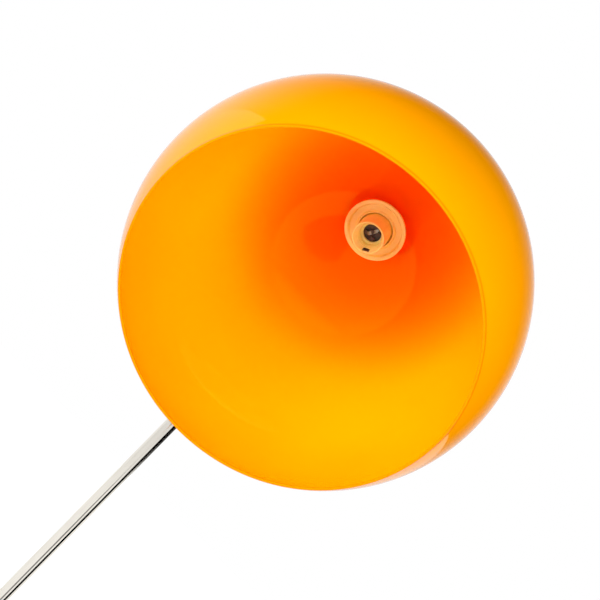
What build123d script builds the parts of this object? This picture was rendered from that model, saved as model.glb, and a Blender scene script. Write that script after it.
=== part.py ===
"""Mushroom floor lamp: a heavy round base, a height-adjustable pole bent over like a cane, and a tilting
spherical acrylic shade on a side-by-side knuckle, with an E27 lampholder in its crown.

Millimetres, +Z up. The origin is the middle of the base's underside, on the pole's axis. The lamp's front,
where the shade opens, faces -Y. The shade is drawn hanging, about its sphere's centre, and then tilted.
"""
from math import cos, radians, sin, sqrt, tan
import os

from build123d import *

# --- driving dimensions -------------------------------------------------------------------------------
SHADE_RADIUS = 210.0          # outside of the acrylic sphere
SHADE_WALL = 2.5
RIM_ROUND = 0.8
RIM_DROP = 96.0               # rim plane below the sphere's centre
REST_TILT = 60.0              # shade's opening from straight down, degrees

PIVOT_HEIGHT = 1360.0         # tilt pivot above the floor, at rest
PIVOT_TO_CROWN = 30.0
CANE_RADIUS = 8.0             # outside of the cane's tube
CANE_WALL = 1.5
CANE_BEND_ANGLE = 135.0
CANE_STUB = 44.0              # straight end of the cane, from the bend to the pivot
CANE_OVERLAP = 220.0          # of the cane in the lower tube, at rest

POLE_RADIUS = 11.0            # outside of the lower tube
POLE_WALL = 1.5
POLE_TOP = 640.0
TRAVEL_DOWN = 180.0           # of the cane, from rest

BASE_RADIUS = 150.0
BASE_HEIGHT = 24.0

CUP_RADIUS = 33.75            # cream cup in the crown
HOLDER_DEPTH = 47.5           # lampholder's mouth below the dome's inside
HOLDER_FOOT_RADIUS = 18.3     # lampholder barrel at its foot and at its mouth
HOLDER_MOUTH_RADIUS = 17.3
E27_RADIUS = 13.5             # wall of the lampholder's screw bore
E27_MOUTH_RADIUS = 13.85

FLEX_RADIUS = 2.5

# --- clearances and fits ------------------------------------------------------------------------------
RUNNING = 0.05                # radial, pins and slides
AIR = 0.3                     # between things that only pass each other
POLE_CLEAR = 18.0             # between the hanging shade and the cane
HOLDER_GAP = 0.9              # round the lampholder in the cup's well
FLEX_PLAY = 1.0               # round the flex in a bore
SLACK_LEFT = 30.0             # flex left slack under the cane at its lowest
BREAK = 1.0                   # chamfer on turned edges
CUT = 1.0                     # how far a cutter runs past a face

# --- base ---------------------------------------------------------------------------------------------
PAD_THICKNESS = 3.0
WEIGHT_MARGIN = 10.0          # weight inside the cover's radius
COVER_WALL = 1.2
COVER_CLEAR = 2.0             # cover's lower edge above the floor
COVER_CORNER = 8.0
RECESS_RADIUS = 24.0          # under the weight, for the spigot's nut
RECESS_TOP = 17.0
SPIGOT_THREAD = 6.0
SPIGOT_FLANGE = 17.0
SPIGOT_FLANGE_HEIGHT = 4.0
SPIGOT_PLUG = 40.0
SPIGOT_TAIL = 0.5             # of thread past the nut
NUT_FLATS = 19.0
NUT_HEIGHT = 5.0
WASHER_HEIGHT = 1.5
INLET_HEIGHT = 9.0
INLET_NECK = 5.0
INLET_FLANGE = 6.8
INLET_FLANGE_WIDTH = 2.0
CHANNEL_WIDTH = 12.0

# --- collar and clamp ---------------------------------------------------------------------------------
COLLAR_RADIUS = 15.0
COLLAR_SKIRT = 28.0           # of the collar down the lower tube
COLLAR_NECK = 19.0            # of the collar above the bush
BUSH_FLANGE = 3.0
BUSH_LENGTH = 40.0
SLIDER_HEIGHT = 40.0
M6 = 3.0                      # radius of the clamp stud and the pivot screw
CLAMP_KNOB_RADIUS = 12.0
CLAMP_KNOB_LENGTH = 18.0
CLAMP_KNOB_GAP = 6.0          # between the collar and the knob
KNOB_GROOVES = 12
KNOB_GROOVE_RADIUS = 1.5
KNOB_ROUND = 1.2
KNOB_END = 4.0                # of solid knob past a screw's end

# --- knuckle ------------------------------------------------------------------------------------------
KNUCKLE_WALL = 2.0
FRICTION_WASHER = 0.6
BYPASS_CLEAR = 1.7            # between the pivot screw and the flex at its turn
CHAMBER_SPARE = 4.0           # width of each half's chamber beyond the flex
SOCKET_RADIUS = 10.0          # round the cane's end
SOCKET_FLOOR = 17.0           # distances from the pivot
SOCKET_MOUTH = 31.0
STEM_RADIUS = 8.0
STEM_FLOOR = 16.0
STEM_END = 22.0
SCREW_HEAD_RADIUS = 5.5
SCREW_HEAD_HEIGHT = 4.0
KNOB_WASHER = 1.0
KNOB_WASHER_RADIUS = 8.0
TILT_KNOB_RADIUS = 11.0
TILT_KNOB_LENGTH = 13.0

# --- crown stack and lampholder -----------------------------------------------------------------------
NIPPLE_RADIUS = 5.0           # M10
GASKET_THICKNESS = 1.5
GASKET_RADIUS = 20.0
CAP_RADIUS = 22.0
CAP_EDGE = 2.0
SHADE_WASHER = 1.0
SHADE_WASHER_RADIUS = 12.0
SHADE_NUT_FLATS = 14.0
SHADE_NUT_HEIGHT = 4.0
CUP_PLATE = 2.5
CUP_DEPTH = 21.0              # lip below the dome's inside
CUP_DISH = 3.0                # floor behind the lip
CUP_COLLAR_STEP = 2.0         # raised ring round the well, above the floor
CUP_WALL = 2.0
CUP_BACK_RADIUS = 31.5
HOLDER_WALL = 2.2
MOUTH_ROUND = 1.2
THREAD_START = 5.0            # heights above the lampholder's mouth
UNDERCUT_START = 16.0
INSULATOR_START = 22.0
HOLDER_SPLIT_START = 27.0
NIPPLE_START = 28.0
UNDERCUT_RADIUS = 15.0
INSULATOR_HEIGHT = 4.0
CONTACT_WIDTH = 4.0
CONTACT_THICKNESS = 0.6
CONTACT_REACH = 4.0
TERMINAL_RADIUS = 1.75
TERMINAL_HEAD = 3.0
TERMINAL_SIDE = 8.0

# --- sizes that follow --------------------------------------------------------------------------------
PIVOT_UP = SHADE_RADIUS + PIVOT_TO_CROWN
PIVOT_REACH = SHADE_RADIUS + CANE_RADIUS + POLE_CLEAR
FLEX_BORE = FLEX_RADIUS + FLEX_PLAY
FLEX_BYPASS = M6 + BYPASS_CLEAR + FLEX_RADIUS        # flex's turn beside the pivot screw
WIRE_SLOT = FLEX_BYPASS + AIR
CHAMBER_RADIUS = FLEX_BYPASS + FLEX_BORE
CHAMBER_HALF = FLEX_RADIUS + CHAMBER_SPARE / 2
KNUCKLE_RADIUS = CHAMBER_RADIUS + KNUCKLE_WALL
KNUCKLE_BACK = CHAMBER_HALF + KNUCKLE_WALL
FAR_SIDE = 3 * CHAMBER_HALF + FRICTION_WASHER + KNUCKLE_WALL
SHADE_SIDE = 2 * CHAMBER_HALF + FRICTION_WASHER      # shade's axis beside the pole's
KNOB_LOW = FAR_SIDE + KNOB_WASHER
SCREW_END = KNOB_LOW + TILT_KNOB_LENGTH - KNOB_END

STUB_ANGLE = CANE_BEND_ANGLE - 90
STUB_SLOPE = radians(STUB_ANGLE)
CANE_BEND = (PIVOT_REACH - CANE_STUB * cos(STUB_SLOPE)) / (1 + sin(STUB_SLOPE))   # centreline radius
BEND_LOW = PIVOT_HEIGHT + CANE_STUB * sin(STUB_SLOPE) - CANE_BEND * cos(STUB_SLOPE)
CANE_BORE = CANE_RADIUS - CANE_WALL
CANE_FOOT = POLE_TOP - CANE_OVERLAP
SLIDER_LOW = CANE_FOOT - SLIDER_HEIGHT / 2
SLACK_LOW = SLIDER_LOW - TRAVEL_DOWN - SLACK_LEFT

WEIGHT_RADIUS = BASE_RADIUS - WEIGHT_MARGIN
WEIGHT_TOP = BASE_HEIGHT - COVER_WALL
SPIGOT_LOW = RECESS_TOP - WASHER_HEIGHT - NUT_HEIGHT - SPIGOT_TAIL
FLEX_LOW = PAD_THICKNESS + FLEX_RADIUS + 2 * AIR     # flex under the spigot
POLE_BORE = POLE_RADIUS - POLE_WALL
POLE_LOW = BASE_HEIGHT + SPIGOT_FLANGE_HEIGHT
COLLAR_FLOOR = POLE_TOP + BUSH_FLANGE
CLAMP_HEIGHT = COLLAR_FLOOR + COLLAR_NECK / 2
STUD_END = COLLAR_RADIUS + CLAMP_KNOB_GAP + CLAMP_KNOB_LENGTH - KNOB_END

INNER_RADIUS = SHADE_RADIUS - SHADE_WALL             # from here on, heights above the sphere's centre
WASHER_TOP = sqrt((INNER_RADIUS - GASKET_THICKNESS) ** 2 - SHADE_WASHER_RADIUS ** 2)
SHADE_NUT_TOP = WASHER_TOP - SHADE_WASHER
CUP_TOP = SHADE_NUT_TOP - SHADE_NUT_HEIGHT
CUP_LIP = INNER_RADIUS - CUP_DEPTH
CUP_FLOOR = CUP_LIP + CUP_DISH
CUP_BACK = sqrt(INNER_RADIUS ** 2 - CUP_BACK_RADIUS ** 2) - 3 * AIR
WELL_RADIUS = HOLDER_FOOT_RADIUS + HOLDER_GAP
HOLDER_TOP = CUP_TOP - CUP_PLATE
HOLDER_MOUTH = INNER_RADIUS - HOLDER_DEPTH
THREAD_LOW = HOLDER_MOUTH + THREAD_START
UNDERCUT_LOW = HOLDER_MOUTH + UNDERCUT_START
INSULATOR_LOW = HOLDER_MOUTH + INSULATOR_START
INSULATOR_TOP = INSULATOR_LOW + INSULATOR_HEIGHT
HOLDER_SPLIT = HOLDER_MOUTH + HOLDER_SPLIT_START
HOLDER_BORE = HOLDER_FOOT_RADIUS - HOLDER_WALL
NIPPLE_LOW = HOLDER_MOUTH + NIPPLE_START


# --- helpers ------------------------------------------------------------------------------------------
def turned(*points):
    """Solid of revolution about Z of a closed outline of (radius, height) points."""
    outline = Polyline(*[(r, 0, z) for r, z in points], close=True)
    return revolve(make_face(outline), Axis.Z)


def ring(outer, inner, low, high):
    """Plain tube or washer about Z."""
    return turned((inner, low), (outer, low), (outer, high), (inner, high))


def rod(radius, low, high):
    """Solid cylinder about Z."""
    return Pos(0, 0, low) * Cylinder(radius, high - low, align=(Align.CENTER, Align.CENTER, Align.MIN))


def block(x, y, z):
    """Box between the given (low, high) pairs."""
    size = [high - low for low, high in (x, y, z)]
    return Pos(x[0], y[0], z[0]) * Box(*size, align=(Align.MIN, Align.MIN, Align.MIN))


def hexagon(flats, bore, low, height):
    """Nut about Z, measured across its flats."""
    blank = extrude(Pos(0, 0, low) * RegularPolygon(flats / 2, 6, major_radius=False), height)
    return blank - rod(bore, low - CUT, low + height + CUT)


def shell_cap(outer, inner, edge, hole):
    """Top of a hollow sphere, between the radii of its centre hole and of its edge."""
    ball = Sphere(outer) - Sphere(inner)
    return ball & ring(edge, hole, 0, outer + CUT)


def fluted(radius, low, high):
    """Hand knob about Z: a cylinder with softened ends and grip grooves round it."""
    knob = rod(radius, low, high)
    knob = fillet(knob.edges().filter_by(GeomType.CIRCLE), KNOB_ROUND)
    for turn in range(KNOB_GROOVES):
        groove = Pos(radius + KNOB_GROOVE_RADIUS / 2, 0, 0) * rod(KNOB_GROOVE_RADIUS, low - CUT, high + CUT)
        knob -= Rot(Z=360 / KNOB_GROOVES * turn) * groove
    return knob


def bent_route(points):
    """Straight runs through the points, joined by tangent arcs as large as the runs allow."""
    corners = [Vector(*p) for p in points]
    pieces = []
    start = corners[0]
    for before, corner, after in zip(corners, corners[1:], corners[2:]):
        back = (before - corner).normalized()
        ahead = (after - corner).normalized()
        setback = 0.45 * min((before - corner).length, (after - corner).length)
        enter, leave = corner + back * setback, corner + ahead * setback
        half_turn = radians(180 - back.get_angle(ahead)) / 2
        radius = setback / tan(half_turn)
        inward = (back + ahead).normalized()
        middle = corner + inward * (radius / cos(half_turn) - radius)
        pieces += [Line(start, enter), ThreePointArc(enter, middle, leave)]
        start = leave
    pieces.append(Line(start, corners[-1]))
    return Wire([piece.edge() for piece in pieces])


def flex(points):
    """Round flex along a bent route."""
    route = bent_route(points) if len(points) > 2 else Wire([Line(*points).edge()])
    return sweep(Plane(route @ 0, z_dir=route % 0) * Circle(FLEX_RADIUS), path=route)


# --- places -------------------------------------------------------------------------------------------
AT_PIVOT = Pos(0, -PIVOT_REACH, PIVOT_HEIGHT)
ALONG_PIVOT = AT_PIVOT * Rot(Y=90)
SHADE_PLACE = AT_PIVOT * Pos(SHADE_SIDE, 0, 0) * Rot(X=-REST_TILT) * Pos(0, 0, -PIVOT_UP)


# --- base ---------------------------------------------------------------------------------------------
def base_pad():
    """Felt disc the lamp stands on."""
    return rod(WEIGHT_RADIUS, 0, PAD_THICKNESS)


def base_weight():
    """Cast disc with a nut recess below, a centre hole and a channel out to the back for the flex."""
    disc = ring(WEIGHT_RADIUS, SPIGOT_THREAD, PAD_THICKNESS, WEIGHT_TOP)
    disc -= rod(RECESS_RADIUS, PAD_THICKNESS - CUT, RECESS_TOP)
    half = CHANNEL_WIDTH / 2
    return disc - block((-half, half), (0, WEIGHT_RADIUS + CUT), (PAD_THICKNESS - CUT, INLET_HEIGHT + half))


def cover_outline(inset):
    """Outline of the base's cover, moved in by the inset, as a face about Z."""
    top = BASE_HEIGHT - inset
    side = BASE_RADIUS - inset
    corner = COVER_CORNER - inset
    low = COVER_CLEAR
    side_top, top_end = (side, 0, top - corner), (side - corner, 0, top)
    shoulder = corner * (1 - cos(radians(45)))
    lines = Curve() + [
        Line((0, 0, low), (side, 0, low)),
        Line((side, 0, low), side_top),
        ThreePointArc(side_top, (side - shoulder, 0, top - shoulder), top_end),
        Line(top_end, (0, 0, top)),
        Line((0, 0, top), (0, 0, low)),
    ]
    return make_face(lines)


def base_cover():
    """Spun chrome cover over the weight, with the hole for the spigot and one for the inlet bush."""
    outer = revolve(cover_outline(0), Axis.Z)
    inner = revolve(cover_outline(COVER_WALL), Axis.Z)
    cover = outer - inner - rod(SPIGOT_THREAD, 0, BASE_HEIGHT + CUT)
    hole = Pos(0, WEIGHT_RADIUS, INLET_HEIGHT) * Rot(X=-90) * rod(INLET_NECK, 0, BASE_RADIUS)
    return cover - hole


def cable_inlet():
    """Rubber bush through the cover's back edge, flanged inside and out."""
    inside = BASE_RADIUS - COVER_WALL - AIR / 2
    flange_in = inside - INLET_FLANGE_WIDTH
    outside = BASE_RADIUS + INLET_FLANGE_WIDTH
    bush = turned(
        (FLEX_BORE, inside - INLET_NECK), (INLET_NECK, inside - INLET_NECK), (INLET_NECK, flange_in),
        (INLET_FLANGE, flange_in), (INLET_FLANGE, inside), (INLET_NECK, inside), (INLET_NECK, BASE_RADIUS),
        (INLET_FLANGE, BASE_RADIUS), (INLET_FLANGE - BREAK, outside), (FLEX_BORE, outside),
    )
    return Pos(0, 0, INLET_HEIGHT) * Rot(X=-90) * bush


def pole_spigot():
    """Turned spigot: thread down through the base, flange on the cover and plug in the lower tube."""
    plug_top = POLE_LOW + SPIGOT_PLUG
    return turned(
        (FLEX_BORE, SPIGOT_LOW), (SPIGOT_THREAD, SPIGOT_LOW), (SPIGOT_THREAD, BASE_HEIGHT),
        (SPIGOT_FLANGE, BASE_HEIGHT), (SPIGOT_FLANGE, POLE_LOW - BREAK), (SPIGOT_FLANGE - BREAK, POLE_LOW),
        (POLE_BORE, POLE_LOW), (POLE_BORE, plug_top), (FLEX_BORE, plug_top),
    )


def spigot_washer():
    """Steel washer in the weight's recess."""
    return ring(SPIGOT_FLANGE, SPIGOT_THREAD, RECESS_TOP - WASHER_HEIGHT, RECESS_TOP)


def spigot_nut():
    """Nut that pulls spigot, cover and weight together."""
    return hexagon(NUT_FLATS, SPIGOT_THREAD, RECESS_TOP - WASHER_HEIGHT - NUT_HEIGHT, NUT_HEIGHT)


# --- lower tube and clamp -----------------------------------------------------------------------------
def lower_tube():
    """Chrome tube from the spigot's flange up to the collar."""
    return ring(POLE_RADIUS, POLE_BORE, POLE_LOW, POLE_TOP)


def guide_bush():
    """Nylon bush in the lower tube's mouth, flanged on top, that the cane slides through."""
    slide = CANE_RADIUS + RUNNING
    return turned(
        (slide, POLE_TOP - BUSH_LENGTH), (POLE_BORE, POLE_TOP - BUSH_LENGTH), (POLE_BORE, POLE_TOP),
        (POLE_RADIUS, POLE_TOP), (POLE_RADIUS, COLLAR_FLOOR), (slide, COLLAR_FLOOR),
    )


def clamp_collar():
    """Chrome collar on the lower tube's end, with a threaded hole at the back for the clamp stud."""
    neck = CANE_RADIUS + AIR
    low, high = POLE_TOP - COLLAR_SKIRT, COLLAR_FLOOR + COLLAR_NECK
    collar = turned(
        (POLE_RADIUS, low), (COLLAR_RADIUS - BREAK, low), (COLLAR_RADIUS, low + BREAK),
        (COLLAR_RADIUS, high - 2 * BREAK), (COLLAR_RADIUS - 2 * BREAK, high), (neck, high),
        (neck, COLLAR_FLOOR), (POLE_RADIUS, COLLAR_FLOOR),
    )
    return collar - Pos(0, 0, CLAMP_HEIGHT) * Rot(X=-90) * rod(M6, 0, COLLAR_RADIUS + CUT)


def clamp_stud():
    """Steel stud of the clamp knob, its tip just off the cane."""
    stud = rod(M6 - RUNNING, CANE_RADIUS + AIR, STUD_END)
    return Pos(0, 0, CLAMP_HEIGHT) * Rot(X=-90) * stud


def clamp_knob():
    """Fluted knob moulded round the clamp stud."""
    low = COLLAR_RADIUS + CLAMP_KNOB_GAP
    knob = fluted(CLAMP_KNOB_RADIUS, low, low + CLAMP_KNOB_LENGTH)
    knob -= rod(M6 - RUNNING, low - CUT, STUD_END)
    return Pos(0, 0, CLAMP_HEIGHT) * Rot(X=-90) * knob


# --- cane ---------------------------------------------------------------------------------------------
def cane_route(low, gap):
    """Cane's centreline from a height, over the bend and down the stub to the gap before the pivot."""
    def on_bend(angle):
        return 0, -CANE_BEND * (1 - cos(angle)), BEND_LOW + CANE_BEND * sin(angle)
    bend = radians(CANE_BEND_ANGLE)
    start, foot = (0, 0, BEND_LOW), (0, 0, low)
    end = (0, gap * cos(STUB_SLOPE) - PIVOT_REACH, PIVOT_HEIGHT + gap * sin(STUB_SLOPE))
    over = ThreePointArc(start, on_bend(bend / 2), on_bend(bend))
    return Wire([piece.edge() for piece in (Line(foot, start), over, Line(on_bend(bend), end))])


def cane_tube():
    """Chrome tube, bent over at the top."""
    route = cane_route(CANE_FOOT, SOCKET_FLOOR)
    start = Pos(0, 0, CANE_FOOT)
    return sweep(start * Circle(CANE_RADIUS), path=route) - sweep(start * Circle(CANE_BORE), path=route)


def slider_foot():
    """Nylon slider on the cane's lower end, a running fit in the lower tube."""
    outer = POLE_BORE - RUNNING
    return turned(
        (FLEX_BORE, SLIDER_LOW), (outer, SLIDER_LOW), (outer, SLIDER_LOW + SLIDER_HEIGHT),
        (CANE_RADIUS, SLIDER_LOW + SLIDER_HEIGHT), (CANE_RADIUS, CANE_FOOT), (FLEX_BORE, CANE_FOOT),
    )


# --- knuckle ------------------------------------------------------------------------------------------
def knuckle_half(boss_radius, boss_end, bore_radius, bore_floor, pin_hole):
    """One hollow half about the X axis, open towards +X, with its boss along +Z."""
    along = Rot(Y=90)
    clear = KNUCKLE_RADIUS + 3 * AIR
    around_flex = FLEX_RADIUS + AIR
    drum = along * rod(KNUCKLE_RADIUS, -KNUCKLE_BACK, CHAMBER_HALF)
    neck = block((-KNUCKLE_BACK, CHAMBER_HALF), (-boss_radius, boss_radius), (0, clear))
    half = drum + neck + rod(boss_radius, clear, boss_end)
    half -= along * rod(CHAMBER_RADIUS, -CHAMBER_HALF, CHAMBER_HALF + CUT)
    half -= along * rod(pin_hole, -KNUCKLE_BACK - CUT, CHAMBER_HALF)
    run = (CHAMBER_RADIUS / 2, bore_floor)
    slot = block((-around_flex, CHAMBER_HALF - AIR), (-WIRE_SLOT, around_flex), run)
    return half - slot - rod(bore_radius, bore_floor, boss_end + CUT)


def knuckle_upper():
    """Cane's half of the knuckle, brazed on the stub."""
    half = knuckle_half(SOCKET_RADIUS, SOCKET_MOUTH, CANE_RADIUS, SOCKET_FLOOR, M6)
    return AT_PIVOT * Rot(X=-STUB_ANGLE) * half


def knuckle_lower():
    """Shade's half of the knuckle, threaded on the nipple."""
    half = knuckle_half(STEM_RADIUS, STEM_END, NIPPLE_RADIUS, STEM_FLOOR, M6 + RUNNING)
    return SHADE_PLACE * Pos(0, 0, PIVOT_UP) * Rot(Y=180) * half


def friction_washer():
    """Fibre ring between the two halves; its friction holds the shade where it is put."""
    return ALONG_PIVOT * ring(KNUCKLE_RADIUS, CHAMBER_RADIUS, CHAMBER_HALF, CHAMBER_HALF + FRICTION_WASHER)


def pivot_screw():
    """Steel screw through both halves into the tilt knob."""
    head = -KNUCKLE_BACK - SCREW_HEAD_HEIGHT
    return ALONG_PIVOT * turned(
        (0, head), (SCREW_HEAD_RADIUS - BREAK, head), (SCREW_HEAD_RADIUS, head + BREAK),
        (SCREW_HEAD_RADIUS, -KNUCKLE_BACK), (M6, -KNUCKLE_BACK), (M6, SCREW_END), (0, SCREW_END),
    )


def knob_washer():
    """Washer under the tilt knob."""
    return ALONG_PIVOT * ring(KNOB_WASHER_RADIUS, M6, FAR_SIDE, KNOB_LOW)


def tilt_knob():
    """Fluted chrome thumb nut on the pivot screw."""
    knob = fluted(TILT_KNOB_RADIUS, KNOB_LOW, KNOB_LOW + TILT_KNOB_LENGTH)
    return ALONG_PIVOT * (knob - rod(M6 + RUNNING, KNOB_LOW - CUT, SCREW_END + CUT))


# --- shade and crown, drawn hanging about the sphere's centre -------------------------------------------
def acrylic_shade():
    """Open sphere of orange acrylic with a hole in its crown and a softened rim."""
    edge = sqrt(SHADE_RADIUS ** 2 - RIM_DROP ** 2)
    inner_edge = sqrt(INNER_RADIUS ** 2 - RIM_DROP ** 2)
    crown, inner_crown = (sqrt(r ** 2 - NIPPLE_RADIUS ** 2) for r in (SHADE_RADIUS, INNER_RADIUS))
    rim, inner_rim = (edge, 0, -RIM_DROP), (inner_edge, 0, -RIM_DROP)
    hole, inner_hole = (NIPPLE_RADIUS, 0, crown), (NIPPLE_RADIUS, 0, inner_crown)
    outline = Curve() + [
        ThreePointArc(rim, (SHADE_RADIUS, 0, 0), hole), Line(hole, inner_hole),
        ThreePointArc(inner_hole, (INNER_RADIUS, 0, 0), inner_rim), Line(inner_rim, rim),
    ]
    shade = revolve(make_face(outline), Axis.Z)
    return fillet(shade.edges().group_by(Axis.Z)[0], RIM_ROUND)


def crown_gasket():
    """Rubber gasket on the dome, under the crown cap."""
    return shell_cap(SHADE_RADIUS + GASKET_THICKNESS, SHADE_RADIUS, GASKET_RADIUS, NIPPLE_RADIUS)


def crown_cap():
    """Chrome cap between the knuckle and the dome."""
    stem = PIVOT_UP - STEM_END
    blank = turned(
        (NIPPLE_RADIUS, SHADE_RADIUS - CAP_EDGE), (CAP_RADIUS, SHADE_RADIUS - CAP_EDGE),
        (CAP_RADIUS, SHADE_RADIUS + CAP_EDGE), (STEM_RADIUS + CAP_EDGE, stem), (NIPPLE_RADIUS, stem),
    )
    return blank - Sphere(SHADE_RADIUS + GASKET_THICKNESS)


def inner_gasket():
    """Rubber gasket under the dome."""
    return shell_cap(INNER_RADIUS, INNER_RADIUS - GASKET_THICKNESS, SHADE_WASHER_RADIUS, NIPPLE_RADIUS)


def shade_washer():
    """Steel washer under the inner gasket."""
    return ring(SHADE_WASHER_RADIUS, NIPPLE_RADIUS, SHADE_NUT_TOP, WASHER_TOP)


def shade_nut():
    """Nut that clamps the dome."""
    return hexagon(SHADE_NUT_FLATS, NIPPLE_RADIUS, CUP_TOP, SHADE_NUT_HEIGHT)


def threaded_nipple():
    """Hollow threaded stem from the knuckle down into the lampholder."""
    return ring(NIPPLE_RADIUS, FLEX_BORE, NIPPLE_LOW, PIVOT_UP - STEM_FLOOR)


def socket_cup():
    """Cream cup in the crown: a well round the lampholder, a shallow dish and a rounded lip."""
    well, well_back = WELL_RADIUS, WELL_RADIUS + CUP_WALL
    back, back_inside = CUP_BACK_RADIUS, CUP_BACK_RADIUS - CUP_WALL
    lip_level, floor_back = CUP_LIP + CUP_WALL, CUP_FLOOR + CUP_WALL
    lip_inside, lip_outside = (CUP_RADIUS - 2 * CUP_WALL, 0, lip_level), (CUP_RADIUS, 0, lip_level)
    start = (NIPPLE_RADIUS, 0, HOLDER_TOP)
    collar = CUP_FLOOR - CUP_COLLAR_STEP
    outline = Curve() + [
        Polyline(
            start, (well, 0, HOLDER_TOP), (well, 0, collar), (well_back, 0, collar),
            (well_back + CUP_WALL, 0, CUP_FLOOR), (lip_inside[0] - BREAK, 0, CUP_FLOOR), lip_inside),
        ThreePointArc(lip_inside, (CUP_RADIUS - CUP_WALL, 0, CUP_LIP), lip_outside),
        Polyline(
            lip_outside, (back, 0, CUP_BACK), (back_inside, 0, CUP_BACK), (back_inside, 0, floor_back),
            (well_back, 0, floor_back), (well_back, 0, CUP_TOP), (NIPPLE_RADIUS, 0, CUP_TOP), start),
    ]
    return revolve(make_face(outline), Axis.Z)


def lampholder_cap():
    """Thermoplastic rear half of the lampholder, screwed on the nipple."""
    radius = HOLDER_FOOT_RADIUS
    ceiling = HOLDER_TOP - 2 * HOLDER_WALL
    return turned(
        (NIPPLE_RADIUS, HOLDER_TOP), (radius - 2 * BREAK, HOLDER_TOP), (radius, HOLDER_TOP - 2 * BREAK),
        (radius, HOLDER_SPLIT), (HOLDER_BORE, HOLDER_SPLIT), (HOLDER_BORE, ceiling),
        (NIPPLE_RADIUS, ceiling),
    )


def lampholder_barrel():
    """Thermoplastic front half with the E27 screw bore, its bell mouth and an undercut for the contacts."""
    front = HOLDER_MOUTH_RADIUS
    return turned(
        (E27_RADIUS, THREAD_LOW), (E27_MOUTH_RADIUS, THREAD_LOW - BREAK), (front - MOUTH_ROUND, HOLDER_MOUTH),
        (front, HOLDER_MOUTH + MOUTH_ROUND),
        (HOLDER_FOOT_RADIUS, HOLDER_SPLIT), (HOLDER_BORE, HOLDER_SPLIT), (HOLDER_BORE, INSULATOR_LOW),
        (UNDERCUT_RADIUS, INSULATOR_LOW), (UNDERCUT_RADIUS, UNDERCUT_LOW), (E27_RADIUS, UNDERCUT_LOW),
    )


def contact_base():
    """Black insulator at the bottom of the bore, with two holes for the terminal screws."""
    disc = rod(HOLDER_BORE, INSULATOR_LOW, INSULATOR_TOP)
    return disc - terminal_pair(rod(TERMINAL_RADIUS, INSULATOR_LOW + BREAK, INSULATOR_TOP + CUT))


def terminal_pair(item):
    """The same thing at both terminals."""
    return Pos(TERMINAL_SIDE, 0, 0) * item + Pos(-TERMINAL_SIDE, 0, 0) * item


def terminal_screws():
    """Two brass terminal screws on the insulator's back."""
    low, head_top = INSULATOR_LOW + BREAK, INSULATOR_TOP + TERMINAL_RADIUS
    return terminal_pair(turned(
        (0, low), (TERMINAL_RADIUS, low), (TERMINAL_RADIUS, INSULATOR_TOP), (TERMINAL_HEAD, INSULATOR_TOP),
        (TERMINAL_HEAD, head_top), (0, head_top),
    ))


def centre_contact():
    """Springy brass leaf under the insulator, bent down towards the lamp cap's tip."""
    root, tip = -E27_RADIUS / 2, E27_RADIUS / 4
    low = INSULATOR_LOW - CONTACT_REACH
    side = Polyline(
        (0, root, INSULATOR_LOW), (0, root, INSULATOR_LOW - CONTACT_THICKNESS),
        (0, -tip, INSULATOR_LOW - CONTACT_THICKNESS), (0, tip, low), (0, tip, low + CONTACT_THICKNESS),
        (0, -tip + CONTACT_THICKNESS, INSULATOR_LOW), close=True)
    return extrude(make_face(side), CONTACT_WIDTH / 2, both=True)


def side_contacts():
    """Two brass tongues in the undercut behind the screw thread."""
    inner = E27_RADIUS + RUNNING
    tongue = block((inner, inner + CONTACT_THICKNESS), (-CONTACT_WIDTH / 2, CONTACT_WIDTH / 2),
                   (UNDERCUT_LOW + AIR, INSULATOR_LOW))
    return tongue + Rot(Z=180) * tongue


# --- flex ---------------------------------------------------------------------------------------------
def base_flex():
    """From just inside the inlet through the weight's channel and up the spigot into the lower tube."""
    return flex([
        (0, WEIGHT_RADIUS - CHANNEL_WIDTH, INLET_HEIGHT), (0, WEIGHT_RADIUS / 2, INLET_HEIGHT),
        (0, 4 * FLEX_RADIUS, FLEX_LOW), (0, 0, FLEX_LOW), (0, 0, SLACK_LOW)])


def slack_flex():
    """Stretch in the lower tube that takes up the cane's travel."""
    return rod(FLEX_RADIUS, SLACK_LOW, SLIDER_LOW)


def cane_flex():
    """Stretch inside the cane, up to the knuckle."""
    route = cane_route(SLIDER_LOW, SOCKET_MOUTH + CUT)
    return sweep(Pos(0, 0, SLIDER_LOW) * Circle(FLEX_RADIUS), path=route)


def knuckle_flex():
    """Stretch round the pivot screw, from the cane's stub to the nipple."""
    to_cane = Vector(0, cos(STUB_SLOPE), sin(STUB_SLOPE))
    to_shade = Vector(0, -sin(radians(REST_TILT)), -cos(radians(REST_TILT)))
    aside = (to_cane + to_shade).normalized()
    pivot = Vector(0, -PIVOT_REACH, PIVOT_HEIGHT)
    across = Vector(1, 0, 0)
    route = [
        pivot + to_cane * SOCKET_MOUTH,
        pivot + to_cane * KNUCKLE_RADIUS + aside * FLEX_RADIUS,
        pivot + aside * FLEX_BYPASS + across * SHADE_SIDE / 2,
        pivot + to_shade * (CHAMBER_RADIUS - CUT) + aside * (FLEX_RADIUS - AIR) + across * SHADE_SIDE,
        pivot + to_shade * STEM_FLOOR + across * SHADE_SIDE,
    ]
    return flex([tuple(point) for point in route])


def stem_flex():
    """Stretch through the nipple into the lampholder."""
    return rod(FLEX_RADIUS, NIPPLE_LOW, PIVOT_UP - STEM_FLOOR - FLEX_RADIUS / 2)


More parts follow.
